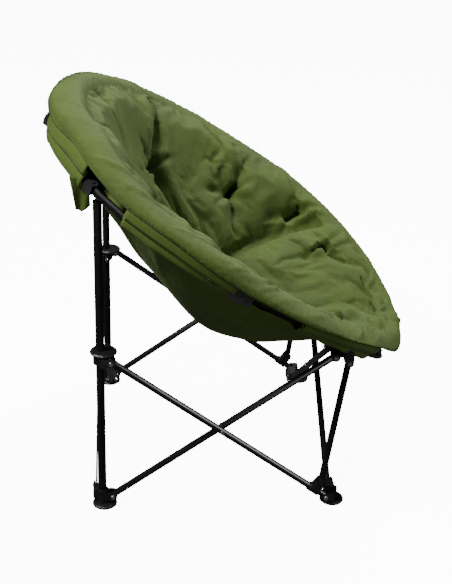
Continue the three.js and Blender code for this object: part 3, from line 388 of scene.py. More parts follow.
class Recipe:
    """A material's node tree, built one node at a time."""

    def __init__(self, name):
        self.material = bpy.data.materials.new(name)
        self.material.use_nodes = True
        self.tree = self.material.node_tree
        self.shader = self.tree.nodes["Principled BSDF"]
        self.place = self.add("ShaderNodeTexCoord").outputs["Object"]

    def add(self, kind, inputs=None, **settings):
        """A node with its settings, and with links or values in its inputs."""
        node = self.tree.nodes.new(kind)
        for key, value in settings.items():
            setattr(node, key, value)
        for key, value in (inputs or {}).items():
            if isinstance(value, bpy.types.NodeSocket):
                self.tree.links.new(value, node.inputs[key])
            else:
                node.inputs[key].default_value = value
        return node

    def noise(self, scale, detail=2.0, roughness=0.5):
        node = self.add("ShaderNodeTexNoise", {
            "Vector": self.place, "Scale": scale, "Detail": detail, "Roughness": roughness})
        return node.outputs["Fac"]

    def ramp(self, value, low, high, at=(0.35, 0.65)):
        node = self.add("ShaderNodeValToRGB", {"Fac": value})
        for element, position, color in zip(node.color_ramp.elements, at, (low, high)):
            element.position = position
            element.color = (*color, 1)
        return node.outputs["Color"]

    def span(self, value, low, high):
        node = self.add("ShaderNodeMapRange", {"Value": value, "To Min": low, "To Max": high})
        return node.outputs["Result"]

    def bump(self, height, strength, distance, base=None):
        inputs = {"Height": height, "Strength": strength, "Distance": distance}
        if base is not None:
            inputs["Normal"] = base
        return self.add("ShaderNodeBump", inputs).outputs["Normal"]

    def surface(self, **inputs):
        """The finished material, with links or values in its shader's inputs."""
        for key, value in inputs.items():
            socket = self.shader.inputs[key.replace("_", " ")]
            if isinstance(value, bpy.types.NodeSocket):
                self.tree.links.new(value, socket)
            else:
                socket.default_value = value
        return self.material


def scaled(color, share):
    return tuple(channel * share for channel in color)


def gray(level):
    return (level, level, level)


def cloth_material(name, color):
    """Woven polyester: crossed threads in the bump, faded patches and a soft sheen."""
    recipe = Recipe(name)
    bands = []
    for axis in ("X", "Z"):
        wave = recipe.add("ShaderNodeTexWave", {
            "Vector": recipe.place, "Scale": 1 / (WEAVE_RADIAN * BAND_RADIANS), "Distortion": 1.5,
            "Detail": 1.0}, bands_direction=axis)
        bands.append(wave.outputs["Fac"])
    weave = recipe.add("ShaderNodeMath", {0: bands[0], 1: bands[1]}, operation="MULTIPLY")
    patches = recipe.noise(scale=9.0, detail=4.0, roughness=0.6)
    grain = recipe.noise(scale=900.0)
    tone = recipe.ramp(patches, low=scaled(color, 0.84), high=scaled(color, 1.12))
    fleck = recipe.ramp(grain, low=gray(0.9), high=gray(1.08))
    mixed = recipe.add("ShaderNodeMix", {0: 1.0, 6: tone, 7: fleck},
                       data_type="RGBA", blend_type="MULTIPLY")
    fine = recipe.bump(weave.outputs["Value"], strength=0.25, distance=0.0004)
    puckers = recipe.noise(scale=120.0, detail=3.0)
    soft = recipe.bump(puckers, strength=0.18, distance=0.002, base=fine)
    return recipe.surface(
        Base_Color=mixed.outputs[2], Normal=soft, Roughness=recipe.span(grain, low=0.72, high=0.9),
        Sheen_Weight=0.08, Sheen_Roughness=0.5, Sheen_Tint=(0.7, 0.9, 0.4, 1),
        Specular_IOR_Level=0.3)


def coat_material(name, color, roughness, grain, depth, metallic=0.0, clear=0.0):
    """Paint, plastic or plated metal: uneven gloss and a fine grain in its surface."""
    recipe = Recipe(name)
    smears = recipe.noise(scale=25.0, detail=3.0, roughness=0.6)
    tone = recipe.ramp(smears, low=scaled(color, 0.85), high=scaled(color, 1.2))
    normal = recipe.bump(recipe.noise(scale=grain), strength=0.3, distance=depth)
    gloss = recipe.span(smears, low=roughness * 0.8, high=roughness * 1.25)
    return recipe.surface(
        Base_Color=tone, Metallic=metallic, Normal=normal, Roughness=gloss,
        Specular_IOR_Level=0.5 if metallic else 0.4, Coat_Weight=clear, Coat_Roughness=0.12)


MOSS = (0.0385, 0.062, 0.0055)
CLOTH = cloth_material("moss_cloth", MOSS)
# Painted light: the hanging cloth and flaps are the same moss cloth painted a fifth brighter, to
# lighten their shaded undersides
SLING_CLOTH_PAINTED_LIGHT = cloth_material("moss_sling_cloth_painted_light", scaled(MOSS, 1.2))
# Darker cord: partly a seam, partly painted shade where it runs along the far rim's top
SEAM_CORD_AND_PAINTED_SHADE = coat_material(
    "moss_seam_cord_and_painted_shade", scaled(MOSS, 0.55), roughness=0.8, grain=2500.0, depth=0.0004)
STITCH = coat_material(
    "moss_stitch", scaled(MOSS, 1.9), roughness=0.7, grain=2500.0, depth=0.0003)
FINISHES = {
    "satin_black_steel": coat_material(
        "satin_black", gray(0.004), roughness=0.3, grain=900.0, depth=0.0002),
    "gloss_black_steel": coat_material(
        "gloss_black", gray(0.006), roughness=0.18, grain=500.0, depth=0.0001, clear=0.06),
    "black_plastic": coat_material(
        "moulded_black", (0.005, 0.005, 0.0055), roughness=0.42, grain=2200.0, depth=0.0004),
    "charcoal_bracket": coat_material(
        "charcoal_paint", (0.018, 0.018, 0.020), roughness=0.4, grain=1400.0, depth=0.0003),
    "silver_plate": coat_material(
        "zinc_plate", (0.62, 0.63, 0.64), roughness=0.32, grain=700.0, depth=0.0002, metallic=1.0),
    "zinc_rivet": coat_material(
        "zinc_rivet", (0.72, 0.73, 0.74), roughness=0.25, grain=700.0, depth=0.0002, metallic=1.0),
    "moss_fabric": CLOTH,
}
for entry in frame["record"]["subparts"]:
    node = frame["nodes"][entry["node"]]
    node.data.materials.clear()
    node.data.materials.append(FINISHES[entry["material_slot"]])


# Padded seat. Creases and tufts are places on the hoop's plane: along it from its middle, across it
TUFTS = [(-0.210, 0.191), (0.026, 0.300), (0.192, 0.290), (0.297, 0.202)]
TUFT_DEPTH = 0.025
TUFT_SPREAD = 0.042
PIT_DEPTH = 0.004
PIT_SPREAD = 0.012
# Creases that run out from each tuft: their number, how unevenly they are spread, and sizes
TUFT_CREASES = 6
TUFT_CREASE_STRAY = 0.25
TUFT_CREASE_REACH = (0.045, 0.105)
TUFT_CREASE_DEPTH = (0.004, 0.009)
CREASE_WIDTH = 0.0065
# A crease's shoulder as shares of its depth and width, and how it dies out along its length
CREASE_SHOULDER_SHARE = 0.5
SHOULDER_PLACE_SHARE = 2.4
SHOULDER_WIDTH_SHARE = 1.6
CREASE_FADE_POWER = 1.5
# The seat's own padding stands up inside an oval, with a valley round it
SEAT_MIDDLE = 0.300
SEAT_HALF_LENGTH = 0.245
SEAT_HALF_WIDTH = 0.262
SEAT_PUFF = 0.034
SEAT_EDGE_POWER = 6
SEAT_FRONT = 0.42
SEAT_FRONT_FADE = 0.06
VALLEY_DEPTH = 0.020
VALLEY_PLACE_SHARE = 1.07
VALLEY_WIDTH_SHARE = 0.09
# Long folds, as start and end places on the plan, depth and width
LONG_FOLDS = [
    ((-0.200, 0.205), (-0.285, 0.325), 0.016, 0.012), ((0.026, 0.300), (0.015, 0.372), 0.016, 0.012),
    ((-0.200, 0.205), (-0.100, 0.150), 0.014, 0.012), ((0.026, 0.300), (0.070, 0.215), 0.014, 0.011),
    ((0.026, 0.300), (-0.075, 0.255), 0.014, 0.013), ((0.192, 0.290), (0.160, 0.365), 0.012, 0.011),
    ((0.192, 0.290), (0.110, 0.270), 0.012, 0.011), ((0.192, 0.290), (0.255, 0.318), 0.012, 0.011),
    ((-0.330, 0.060), (-0.440, 0.120), 0.010, 0.014), ((-0.240, 0.020), (-0.330, 0.060), 0.010, 0.016),
    ((0.297, 0.202), (0.330, 0.262), 0.012, 0.009), ((0.297, 0.202), (0.395, 0.120), 0.013, 0.009),
    ((0.297, 0.202), (0.185, 0.120), 0.011, 0.009), ((0.297, 0.202), (0.255, 0.255), 0.012, 0.009)]


def plan(points):
    """Places on the hoop's plane, along it and across it."""
    arm = points - HOOP_CENTRE
    return np.stack([arm @ ALONG, arm[..., 1]], axis=-1)


def crease(spots, start, end, depth, width):
    """A pinched fold between two places: a narrow valley with a low shoulder on each side."""
    start, end = np.array(start), np.array(end)
    run = end - start
    share = np.clip(((spots - start) @ run) / (run @ run), 0, 1)
    gap = np.linalg.norm(spots - (start + share[..., None] * run), axis=-1)
    fade = np.cos(share * math.pi / 2) ** CREASE_FADE_POWER
    valley = np.exp(-(gap / width) ** 2)
    beside = (gap - SHOULDER_PLACE_SHARE * width) / (SHOULDER_WIDTH_SHARE * width)
    return depth * fade * (CREASE_SHOULDER_SHARE * np.exp(-beside ** 2) - valley)


def tuft_creases():
    """Folds that run out from each tuft, at uneven angles."""
    folds = []
    for along, across in TUFTS:
        for side in (1, -1):
            first = random.uniform(0, math.tau)
            for index in range(TUFT_CREASES):
                stray = random.uniform(-TUFT_CREASE_STRAY, TUFT_CREASE_STRAY)
                angle = first + math.tau * (index + stray) / TUFT_CREASES
                reach = random.uniform(*TUFT_CREASE_REACH)
                start = (along, side * across)
                end = (along + reach * math.cos(angle), side * across + reach * math.sin(angle))
                folds.append((start, end, random.uniform(*TUFT_CREASE_DEPTH), CREASE_WIDTH))
    return folds


def seat_reach(spots):
    """Distance from the middle of the seat's oval, as a share of the way to its edge."""
    return np.hypot((spots[..., 0] - SEAT_MIDDLE) / SEAT_HALF_LENGTH,
                    spots[..., 1] / SEAT_HALF_WIDTH)


def bowl_relief(spots):
    """Height of tufts, creases and the raised seat, at places on the plan."""
    relief = np.zeros(spots.shape[:-1])
    for along, across in TUFTS:
        for side in (1, -1):
            gap = np.hypot(spots[..., 0] - along, spots[..., 1] - side * across)
            relief -= TUFT_DEPTH * np.exp(-(gap / TUFT_SPREAD) ** 2)
            relief -= PIT_DEPTH * np.exp(-(gap / PIT_SPREAD) ** 2)
    for start, end, depth, width in LONG_FOLDS:
        for side in (1, -1):
            ends = [(a, side * b) for a, b in (start, end)]
            relief += crease(spots, *ends, depth, width)
    for fold in tuft_creases():
        relief += crease(spots, *fold)
    reach = seat_reach(spots)
    back_half = np.clip((SEAT_FRONT - spots[..., 0]) / SEAT_FRONT_FADE, 0, 1)
    relief += SEAT_PUFF * np.sqrt(np.clip(1 - reach ** SEAT_EDGE_POWER, 0, 1)) * back_half
    valley = np.exp(-((reach - VALLEY_PLACE_SHARE) / VALLEY_WIDTH_SHARE) ** 2)
    relief -= VALLEY_DEPTH * valley * back_half
    return relief


# Slanting pull folds over the rim: number, steepness, start and run along the section, and sizes
RIM_FOLDS = 30
RIM_FOLD_SLANT = (0.6, 1.6)
RIM_FOLD_START = (0.0, 0.09)
RIM_FOLD_RUN = (0.05, 0.13)
RIM_FOLD_DEPTH = (0.0015, 0.0042)
RIM_FOLD_WIDTH = (0.007, 0.016)
RIM_FOLD_POWER = 1.3
# Finer ones, drawn on the settled cloth as sharp ridges that end so many widths out
FINE_FOLDS = 84
FINE_FOLD_SLANT = (0.6, 2.2)
FINE_FOLD_START = (0.002, 0.05)
FINE_FOLD_RUN = (0.04, 0.10)
FINE_FOLD_DEPTH = (0.0008, 0.0022)
FINE_FOLD_WIDTH = (0.009, 0.016)
FINE_FOLD_SHARPNESS = 1.6
FINE_FOLD_END = 4


def slanting_fold(section, slant_range, start_range, run_range):
    """Draws one fold: gap from its line at each point, its slant and the share of its length."""
    centre = random.uniform(0, RING_LENGTH)
    hand = 1 if centre < RING_LENGTH / 2 else -1
    slant = hand * random.uniform(*slant_range)
    low = random.uniform(*start_range)
    high = low + random.uniform(*run_range)
    away = shortest_way(ARC - centre - slant * (section - low))
    return away, slant, np.clip((section - low) / (high - low), 0, 1)


def rim_folds(section):
    """Height of the soft pull folds, by the run along the section."""
    relief = np.zeros(section.shape)
    for _ in range(RIM_FOLDS):
        away, _, share = slanting_fold(section, RIM_FOLD_SLANT, RIM_FOLD_START, RIM_FOLD_RUN)
        depth = random.uniform(*RIM_FOLD_DEPTH)
        width = random.uniform(*RIM_FOLD_WIDTH)
        relief += depth * np.exp(-(away / width) ** 2) * np.sin(share * math.pi) ** RIM_FOLD_POWER
    return relief


def fine_folds(section):
    """Height of the fine ridges, by the run along the section."""
    relief = np.zeros(section.shape)
    for _ in range(FINE_FOLDS):
        away, slant, share = slanting_fold(section, FINE_FOLD_SLANT, FINE_FOLD_START, FINE_FOLD_RUN)
        depth = random.uniform(*FINE_FOLD_DEPTH)
        width = random.uniform(*FINE_FOLD_WIDTH) * math.hypot(1, slant)
        near = np.abs(away) < FINE_FOLD_END * width
        ridge = np.exp(-np.abs(away) / width * FINE_FOLD_SHARPNESS) * near
        relief += depth * ridge * np.sin(share * math.pi)
    return relief


# Rim's section from its outer edge inwards. Pairs are shares of the reach and of the rise
EDGE_TUCK = 0.004
EDGE_BULGE = 0.001
EDGE_RISE = 0.002
SHOULDER_SHARES = (0.6, 0.25)
RIM_SHARES = [(0.84, 0.53), (0.56, 0.80)]
CROWN_SHARES = (0.12, 0.995)
INNER_SHARES = [(0.3, 0.985), (1, 0.78)]
# Bowl's section inwards from the rim, as shares of the way out, and how it thickens towards it
BOWL_SHARES = (0.86, 0.72, 0.56, 0.38, 0.2, 0.08)
BOWL_FULL_SHARE = 0.9
THICKENING_POWER = 3
# Underside, from the rim's edge over the hoop and down the bowl
UNDER_TUCK = 0.008
UNDER_EDGE_RISE = 0.001
UNDER_HOOP_OUT = 0.006
UNDER_HOOP_RISE = 0.006
UNDER_SHARES = (0.84, 0.7, 0.5, 0.3, 0.12)
# Where along the section the bowl's relief comes in, the rim's folds go and the lumps come in
BOWL_RELIEF_START = 0.10
RIM_FOLDS_END = 0.17
RELIEF_FADE = 0.06
RIM_FOLDS_FADE = 0.02
LUMPS_START = 0.06
LUMPS_FADE = 0.08
LEAST_LUMPS_SHARE = 0.15
# Lumps to a metre and their height
LUMPS = [(12.0, 0.0034), (40.0, 0.0010)]


def padding_top():
    """Smooth rows from the rim's outer edge over its crest and down the bowl."""
    rise = CREST - LIP
    outline = [(LIP_OUT - EDGE_TUCK, LIP), (LIP_OUT + EDGE_BULGE, LIP + EDGE_RISE)]
    out, up = SHOULDER_SHARES
    outline.append((LIP_OUT + (RIM - LIP_OUT) * out, LIP + rise * up))
    outline += [(RIM * out, LIP + rise * up) for out, up in RIM_SHARES]
    out, up = CROWN_SHARES
    outline.append((RIM * out, CREST * up))
    outline += [(-RIM_INNER * out, CREST * up) for out, up in INNER_SHARES]
    rows = [from_hoop(out, up) for out, up in outline]
    edge_share = 1 - RIM_INNER / HALF_WIDTH
    edge_rise = outline[-1][1] + LIFT
    edge_thick = edge_rise - underside(edge_share) - BOWL_THICKNESS
    for share in BOWL_SHARES:
        inward = share * edge_share / BOWL_FULL_SHARE
        thick = BOWL_THICKNESS + edge_thick * (inward / edge_share) ** THICKENING_POWER
        rows.append(in_bowl(inward[:, None], underside(inward) + thick))
    return spline(rows, RIM_SAMPLES + BOWL_SAMPLES)


def padding_underside():
    """Rows from the rim's edge over the hoop and down just above the hanging cloth."""
    rows = [
        from_hoop(LIP_OUT - UNDER_TUCK, LIP + UNDER_EDGE_RISE),
        from_hoop(UNDER_HOOP_OUT, np.maximum(LIP + UNDER_HOOP_RISE, UNDER_RISE)),
        from_hoop(-LIP_OUT, np.maximum(LIP, UNDER_RISE)),
    ]
    for share in UNDER_SHARES:
        rows.append(in_bowl(np.full((STATIONS, 1), share), cloth_height(share) + UNDER_GAP))
    return rows


def puffed(rows):
    """Rows of the top with tufts, pinched folds, pull folds and lumps."""
    section = run_down(rows)
    inside = np.clip((section - BOWL_RELIEF_START) / RELIEF_FADE, 0, 1)
    past_rim = np.clip((section - RIM_FOLDS_END) / RELIEF_FADE, 0, 1)
    outside = np.clip(section / RIM_FOLDS_FADE, 0, 1) * (1 - past_rim)
    relief = bowl_relief(plan(rows)) * inside + rim_folds(section) * outside
    loose = np.clip((section - LUMPS_START) / LUMPS_FADE, LEAST_LUMPS_SHARE, 1)
    for scale, size in LUMPS:
        relief += cloth_noise(rows, scale, size) * loose
    return kept_above_cloth(rows + relief[..., None] * row_normals(rows))


# How firmly the cushion's points are held as it settles
EDGE_HELD_ROWS = 4
VALLEY_HELD_SHARE = 0.035
VALLEY_HELD_END = 0.36
VALLEY_HOLD = 0.7
RIM_FIRM_ROWS = 24
RIM_HOLD = 0.75


def held_points(points, top_count):
    """Pairs of hold and points: edge, underside and tufts, then the seat's valley, then the rim."""
    spots = plan(points)
    number = np.arange(len(points))
    fixed = (number >= top_count) | (number < EDGE_HELD_ROWS * STATIONS)
    for along, across in TUFTS:
        gap = np.hypot(spots[:, 0] - along, np.abs(spots[:, 1]) - across)
        fixed |= gap < PIT_SPREAD
    valley = np.abs(seat_reach(spots) - VALLEY_PLACE_SHARE) < VALLEY_HELD_SHARE
    valley &= spots[:, 0] < VALLEY_HELD_END
    firm = number < RIM_FIRM_ROWS * STATIONS
    return [(1.0, np.flatnonzero(fixed)), (VALLEY_HOLD, np.flatnonzero(valley & ~fixed)),
            (RIM_HOLD, np.flatnonzero(firm & ~fixed))]


def build_cushion():
    """Closed padded ring and bowl, settled as cloth and then wrinkled."""
    top = puffed(padding_top())
    under = padding_underside()[::-1]
    centre = BOWL_LOW + (BOWL_THICKNESS - BOWL_DEPTH) * NORMAL
    bottom = BOWL_LOW + (UNDER_GAP - BOWL_DEPTH) * NORMAL
    points = np.vstack(list(top) + [centre[None]] + under + [bottom[None]])
    count = STATIONS
    faces = []
    centre_number = len(top) * count
    first_under = centre_number + 1
    for row in range(len(top) - 1):
        faces += strip(row * count, (row + 1) * count, count)
    last = centre_number - count
    for station in range(count):
        faces.append((last + station, last + (station + 1) % count, centre_number))
    for row in range(len(under) - 1):
        faces += strip(first_under + row * count, first_under + (row + 1) * count, count)
    bottom_number = first_under + len(under) * count
    faces += strip(bottom_number - count, 0, count)
    for station in range(count):
        beside = (station + 1) % count
        faces.append((first_under + beside, first_under + station, bottom_number))
    piece = mesh_object("seat_cushion", points, faces, CLOTH)
    settled(piece, held_points(points, centre_number))
    wrinkled(piece, len(top))
    return piece


# Cloth simulation that blows the padding up
SIM_FRAMES = 18
SIM_CAP = 0.024
SIM_SETTINGS = {
    "quality": 5, "mass": 0.2, "tension_stiffness": 12, "compression_stiffness": 6,
    "shear_stiffness": 4, "bending_stiffness": 0.15, "air_damping": 2,
    "use_pressure": True, "uniform_pressure_force": 3.5, "shrink_min": -0.05,
    "vertex_group_mass": "held"}


def settled(piece, held):
    """Blows the padding up as cloth, held at the given points, and keeps each point near its start."""
    mesh = piece.data
    start = vertex_places(mesh)
    group = piece.vertex_groups.new(name="held")
    for hold, index in held:
        group.add([int(spot) for spot in index], hold, "REPLACE")
    modifier = piece.modifiers.new("settle", "CLOTH")
    for key, value in SIM_SETTINGS.items():
        setattr(modifier.settings, key, value)
    modifier.settings.effector_weights.gravity = 0
    scene = bpy.context.scene
    modifier.point_cache.frame_start = 1
    modifier.point_cache.frame_end = SIM_FRAMES
    for step in range(1, SIM_FRAMES + 1):
        scene.frame_set(step)
    move = vertex_places(result_mesh(piece)) - start
    size = np.linalg.norm(move, axis=1)
    move *= (np.minimum(size, SIM_CAP) / np.maximum(size, 1e-9))[:, None]
    piece.modifiers.clear()
    piece.vertex_groups.clear()
    mesh.vertices.foreach_set("co", (start + move).ravel())
    mesh.update()
    scene.frame_set(1)


def wrinkled(piece, top_rows):
    """Fine pull folds on the rim, on top of the settled shape, kept clear of the cloth below."""
    points = vertex_places(piece.data)
    rows = points[:top_rows * STATIONS].reshape(top_rows, STATIONS, 3)
    folds = fine_folds(run_down(rows))
    rows = kept_above_cloth(rows + folds[..., None] * row_normals(rows))
    points[:top_rows * STATIONS] = rows.reshape(-1, 3)
    piece.data.vertices.foreach_set("co", points.ravel())
    piece.data.update()


def squashed(piece):
    """Hangs the piece from the right rear leg's body and gives it a mesh of its own."""
    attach(piece, ROOT)
    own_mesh(piece)
    return piece


# Sling: the cloth that hangs from the hoop under the padding
SLING_THICK = 0.0022
SLING_GAP = 0.003
SLING_BOTTOM_GAP = 0.004
SLING_ROWS = 72
# Sleeve round the hoop: out from it, rise over it and the share of the rim's lift that it follows
SLEEVE = [(0.027, 0.000, 1), (0.0255, -0.004, 0.9), (0.020, -0.012, 0.55), (0.0155, 0.004, 0.45),
          (0.0150, -0.006, 0.2), (0.010, -0.0135, 0), (0.000, -0.0165, 0), (-0.012, -0.0155, 0)]
SLEEVE_LIFT = 0.002
SLING_SHARES = (0.93, 0.86, 0.79, 0.72, 0.64, 0.56, 0.47, 0.38, 0.29, 0.2, 0.12, 0.05)
# Windows in the sleeve that leave the hoop bare, as shares round the hoop and down the cloth
WINDOWS = [(0.0, 0.022), (0.105, 0.150), (0.243, 0.300), (0.392, 0.5)]
WINDOW_END_SHARE = 0.175
# Long folds down the cloth: number, slant, length as a share of the way, and sizes
SLING_FOLDS = 26
SLING_FOLD_SLANT = (-0.9, 0.9)
SLING_FOLD_LENGTH_SHARE = (0.35, 0.8)
SLING_FOLD_WIDTH = (0.010, 0.028)
SLING_FOLD_DEPTH = (0.0025, 0.006)
SLING_FOLD_DRIFT = 0.3
SLING_FOLD_POWER = 0.8
SLING_FOLDS_START_SHARE = 0.06
SLING_FOLDS_FADE_SHARE = 0.1


def in_window(station):
    share = (station + 0.5) / STATIONS
    share = min(share, 1 - share)
    return any(low <= share <= high for low, high in WINDOWS)


def sling_folds(shares):
    """Long slanting folds that run down the cloth from the hoop."""
    relief = np.zeros((len(shares), STATIONS))
    down = 1 - np.asarray(shares)[:, None]
    for _ in range(SLING_FOLDS):
        centre = random.uniform(0, RING_LENGTH)
        slant = random.uniform(*SLING_FOLD_SLANT)
        length = random.uniform(*SLING_FOLD_LENGTH_SHARE)
        away = shortest_way(ARC - centre - slant * down * SLING_FOLD_DRIFT)
        width = random.uniform(*SLING_FOLD_WIDTH) * (1 - down / 2)
        depth = random.uniform(*SLING_FOLD_DEPTH)
        swell = np.sin(np.clip(down / length, 0, 1) * math.pi) ** SLING_FOLD_POWER
        relief += depth * np.exp(-(away / width) ** 2) * swell
    return relief


def sling_rows():
    """Smooth rows from the rim's edge, round the hoop and down to the bottom of the bowl."""
    top = LIP + SLEEVE_LIFT
    rows = [from_hoop(out, rise + top * share) for out, rise, share in SLEEVE]
    for share in SLING_SHARES:
        rows.append(in_bowl(np.full((STATIONS, 1), share), cloth_height(share) + SLING_GAP))
    fine = spline(rows, SLING_ROWS)
    run = run_down(fine)
    run = run / run[-1]
    fade = np.clip((run - SLING_FOLDS_START_SHARE) / SLING_FOLDS_FADE_SHARE, 0, 1)
    folds = sling_folds(1 - run.mean(1)) * fade
    return fine + folds[..., None] * row_normals(fine), run.mean(1)


def build_sling():
    """The hanging cloth, with its windows left open."""
    rows, run = sling_rows()
    faces = []
    for row in range(len(rows) - 1):
        for station, face in enumerate(strip(row * STATIONS, (row + 1) * STATIONS, STATIONS)):
            if run[row] > WINDOW_END_SHARE or not in_window(station):
                faces.append(face)
    centre = len(rows) * STATIONS
    last = centre - STATIONS
    for station in range(STATIONS):
        faces.append((last + station, last + (station + 1) % STATIONS, centre))
    bottom = BOWL_LOW + (SLING_BOTTOM_GAP - BOWL_DEPTH) * NORMAL
    points = np.vstack([rows.reshape(-1, 3), bottom[None]])
    # The hanging cloth takes the moss cloth painted a fifth brighter: painted light
    piece = mesh_object("seat_sling", points, faces, SLING_CLOTH_PAINTED_LIGHT)
    return thickened(piece, SLING_THICK)


# Seam and painted shade line, stitches and flaps
SEAM_RADIUS = 0.0019
SEAM_SIDES = 8
SEAM_SETBACK = 0.002
SEAM_LIFT = 0.0006
SEAM_PASSES = 2
# How far up to the crest the dark seam cord climbs on the far rim, and how steeply it gets there; up
# there it is painted shade, a dark line for the shaded outer band that shows over the crest
SHADE_LINE_FAR_SHARE = 0.66
SEAM_AND_SHADE_CLIMB = 1.4
SEAM_AND_SHADE_CLIMB_PASSES = 30
STITCH_GAP = 0.0056
STITCH_LENGTH = 0.0036
STITCH_RADIUS = 0.0006
STITCH_LIFT = 0.0003
STITCH_ROWS = (0.006, 0.0105)
STITCH_SIDES = 4
# Rings of a stitch, as shares of its length from its middle and of its radius
STITCH_SHARES = ((-0.5, 0.5), (-0.25, 1), (0.25, 1), (0.5, 0.5))
# Flap's outline from the side, in millimetres forward and up, and how far aside it hangs
FLAP_OUTLINE = [(-62, 808), (-22, 800), (-20, 742), (-38, 728), (-50, 733)]
FLAP_ASIDE = 281
FLAP_COLUMNS = 14
FLAP_ROWS = 20
FLAP_THICK = 0.0016
# Flap's ripple: its size at the hem, and its radians across the flap and down it
FLAP_WAVE = 0.004
FLAP_WAVE_TURN = 7
FLAP_WAVE_TWIST = 3
# How far inwards the hem hangs from upright
FLAP_SWAY = 0.006


def tube_along(name, line, radius, material):
    """A closed round cord along a closed line of points."""
    tangent = np.roll(line, -1, 0) - np.roll(line, 1, 0)
    tangent /= np.linalg.norm(tangent, axis=1)[:, None]
    first = np.cross(tangent, NORMAL)
    first /= np.linalg.norm(first, axis=1)[:, None]
    second = np.cross(tangent, first)
    rows = []
    for side in range(SEAM_SIDES):
        turn = math.tau * side / SEAM_SIDES
        rows.append(line + radius * (math.cos(turn) * first + math.sin(turn) * second))
    return mesh_object(name, np.vstack(rows), loft(rows), material)


def seam_and_painted_shade_share():
    """Where the dark cord lies up the rim's outside: low on the sitter's right, where it is a seam,
    and high on the left, where it is painted shade along the far rim's top.
    """
    across = -RING[:, 1] / SIDE_JOINT[1]
    climb = np.clip(0.5 - SEAM_AND_SHADE_CLIMB * across, 0, 1)
    return smoothed_ring(SHADE_LINE_FAR_SHARE * climb, SEAM_AND_SHADE_CLIMB_PASSES)


def on_rim(rows, run, reach, lift):
    """A closed line on the rim, so far along its section at each station and so far off it."""
    normals = row_normals(rows)
    line = []
    for station in range(STATIONS):
        spot = [np.interp(reach[station], run[:, station], rows[:, station, axis])
                for axis in range(3)]
        way = [np.interp(reach[station], run[:, station], normals[:, station, axis])
               for axis in range(3)]
        line.append(np.array(spot) + lift * np.array(way))
    return smoothed_ring(np.array(line), SEAM_PASSES)


def even_line(line, gap):
    """Points on a closed line at even gaps."""
    closed = np.vstack([line, line[:1]])
    run = np.concatenate([[0], np.cumsum(np.linalg.norm(np.diff(closed, axis=0), axis=1))])
    count = int(run[-1] / gap)
    wanted = np.arange(count) * run[-1] / count
    return np.stack([np.interp(wanted, run, closed[:, axis]) for axis in range(3)], axis=1)


def stitch(spot, way, base):
    """Points and faces of one stitch, a short closed rod whose first point has the number base."""
    side = np.cross(way, NORMAL)
    side /= np.linalg.norm(side)
    up = np.cross(side, way)
    points, faces = [], []
    for along, size in STITCH_SHARES:
        for turn in range(STITCH_SIDES):
            angle = math.tau * turn / STITCH_SIDES
            off = STITCH_RADIUS * size * (math.cos(angle) * side + math.sin(angle) * up)
            points.append(spot + along * STITCH_LENGTH * way + off)
    for ring in range(len(STITCH_SHARES) - 1):
        low = base + ring * STITCH_SIDES
        faces += strip(low, low + STITCH_SIDES, STITCH_SIDES)
    last = base + (len(STITCH_SHARES) - 1) * STITCH_SIDES
    faces.append(tuple(range(base + STITCH_SIDES - 1, base - 1, -1)))
    faces.append(tuple(range(last, last + STITCH_SIDES)))
    return points, faces


def build_seams(cushion):
    """Dark cord in the rim's edge, partly a seam and partly painted shade along the far rim's top, and
    two rows of stitches beside it.
    """
    count = (RIM_SAMPLES + BOWL_SAMPLES) * STATIONS
    rows = vertex_places(cushion.data)[:count].reshape(-1, STATIONS, 3)[:RIM_SAMPLES]
    run = run_down(rows)
    crest = run[np.argmax((rows - HOOP_CENTRE) @ NORMAL, axis=0), np.arange(STATIONS)]
    reach = SEAM_SETBACK + seam_and_painted_shade_share() * crest
    seam_and_shade_line = tube_along("rim_seam_and_painted_shade_line", on_rim(rows, run, reach, SEAM_LIFT), SEAM_RADIUS, SEAM_CORD_AND_PAINTED_SHADE)
    points, faces = [], []
    for offset in STITCH_ROWS:
        line = even_line(on_rim(rows, run, reach + offset, STITCH_LIFT), STITCH_GAP)
        ahead = np.roll(line, -1, 0) - line
        ahead /= np.linalg.norm(ahead, axis=1)[:, None]
        for spot, way in zip(line, ahead):
            more_points, more_faces = stitch(spot, way, len(points))
            points += more_points
            faces += more_faces
    return [seam_and_shade_line, mesh_object("rim_stitches", points, faces, STITCH)]


def build_flap(name, side):
    """A loose tab of cloth that hangs behind a rear bracket."""
    outline = [place(x, side * FLAP_ASIDE, z) for x, z in FLAP_OUTLINE]
    top = [outline[0], outline[1]]
    low = [outline[4], outline[3], outline[2]]
    points = []
    for row in range(FLAP_ROWS):
        down = row / (FLAP_ROWS - 1)
        for column in range(FLAP_COLUMNS):
            across = column / (FLAP_COLUMNS - 1)
            head = top[0] + across * (top[1] - top[0])
            hem = low[0] + min(across * 2, 1) * (low[1] - low[0])
            hem = hem + max(across * 2 - 1, 0) * (low[2] - low[1])
            spot = head + down * (hem - head)
            wave = FLAP_WAVE * math.sin(across * FLAP_WAVE_TURN + down * FLAP_WAVE_TWIST) * down
            points.append(spot + np.array([0, side * (wave - FLAP_SWAY * down), 0]))
    faces = []
    for row in range(FLAP_ROWS - 1):
        for column in range(FLAP_COLUMNS - 1):
            corner = row * FLAP_COLUMNS + column
            faces.append((corner, corner + 1, corner + FLAP_COLUMNS + 1, corner + FLAP_COLUMNS))
    # The flap takes the moss cloth painted a fifth brighter: painted light
    piece = mesh_object(name, points, faces, SLING_CLOTH_PAINTED_LIGHT)
    return thickened(piece, FLAP_THICK)


# Painted shade of the cross slots in the screws at the tops of the struts: dark crossed bars on the
# screws' faces
SLOT_LENGTH = 0.0058
SLOT_WIDTH = 0.0014
SLOT_PROUD = 0.0002
SLOT_TURN = math.radians(25)


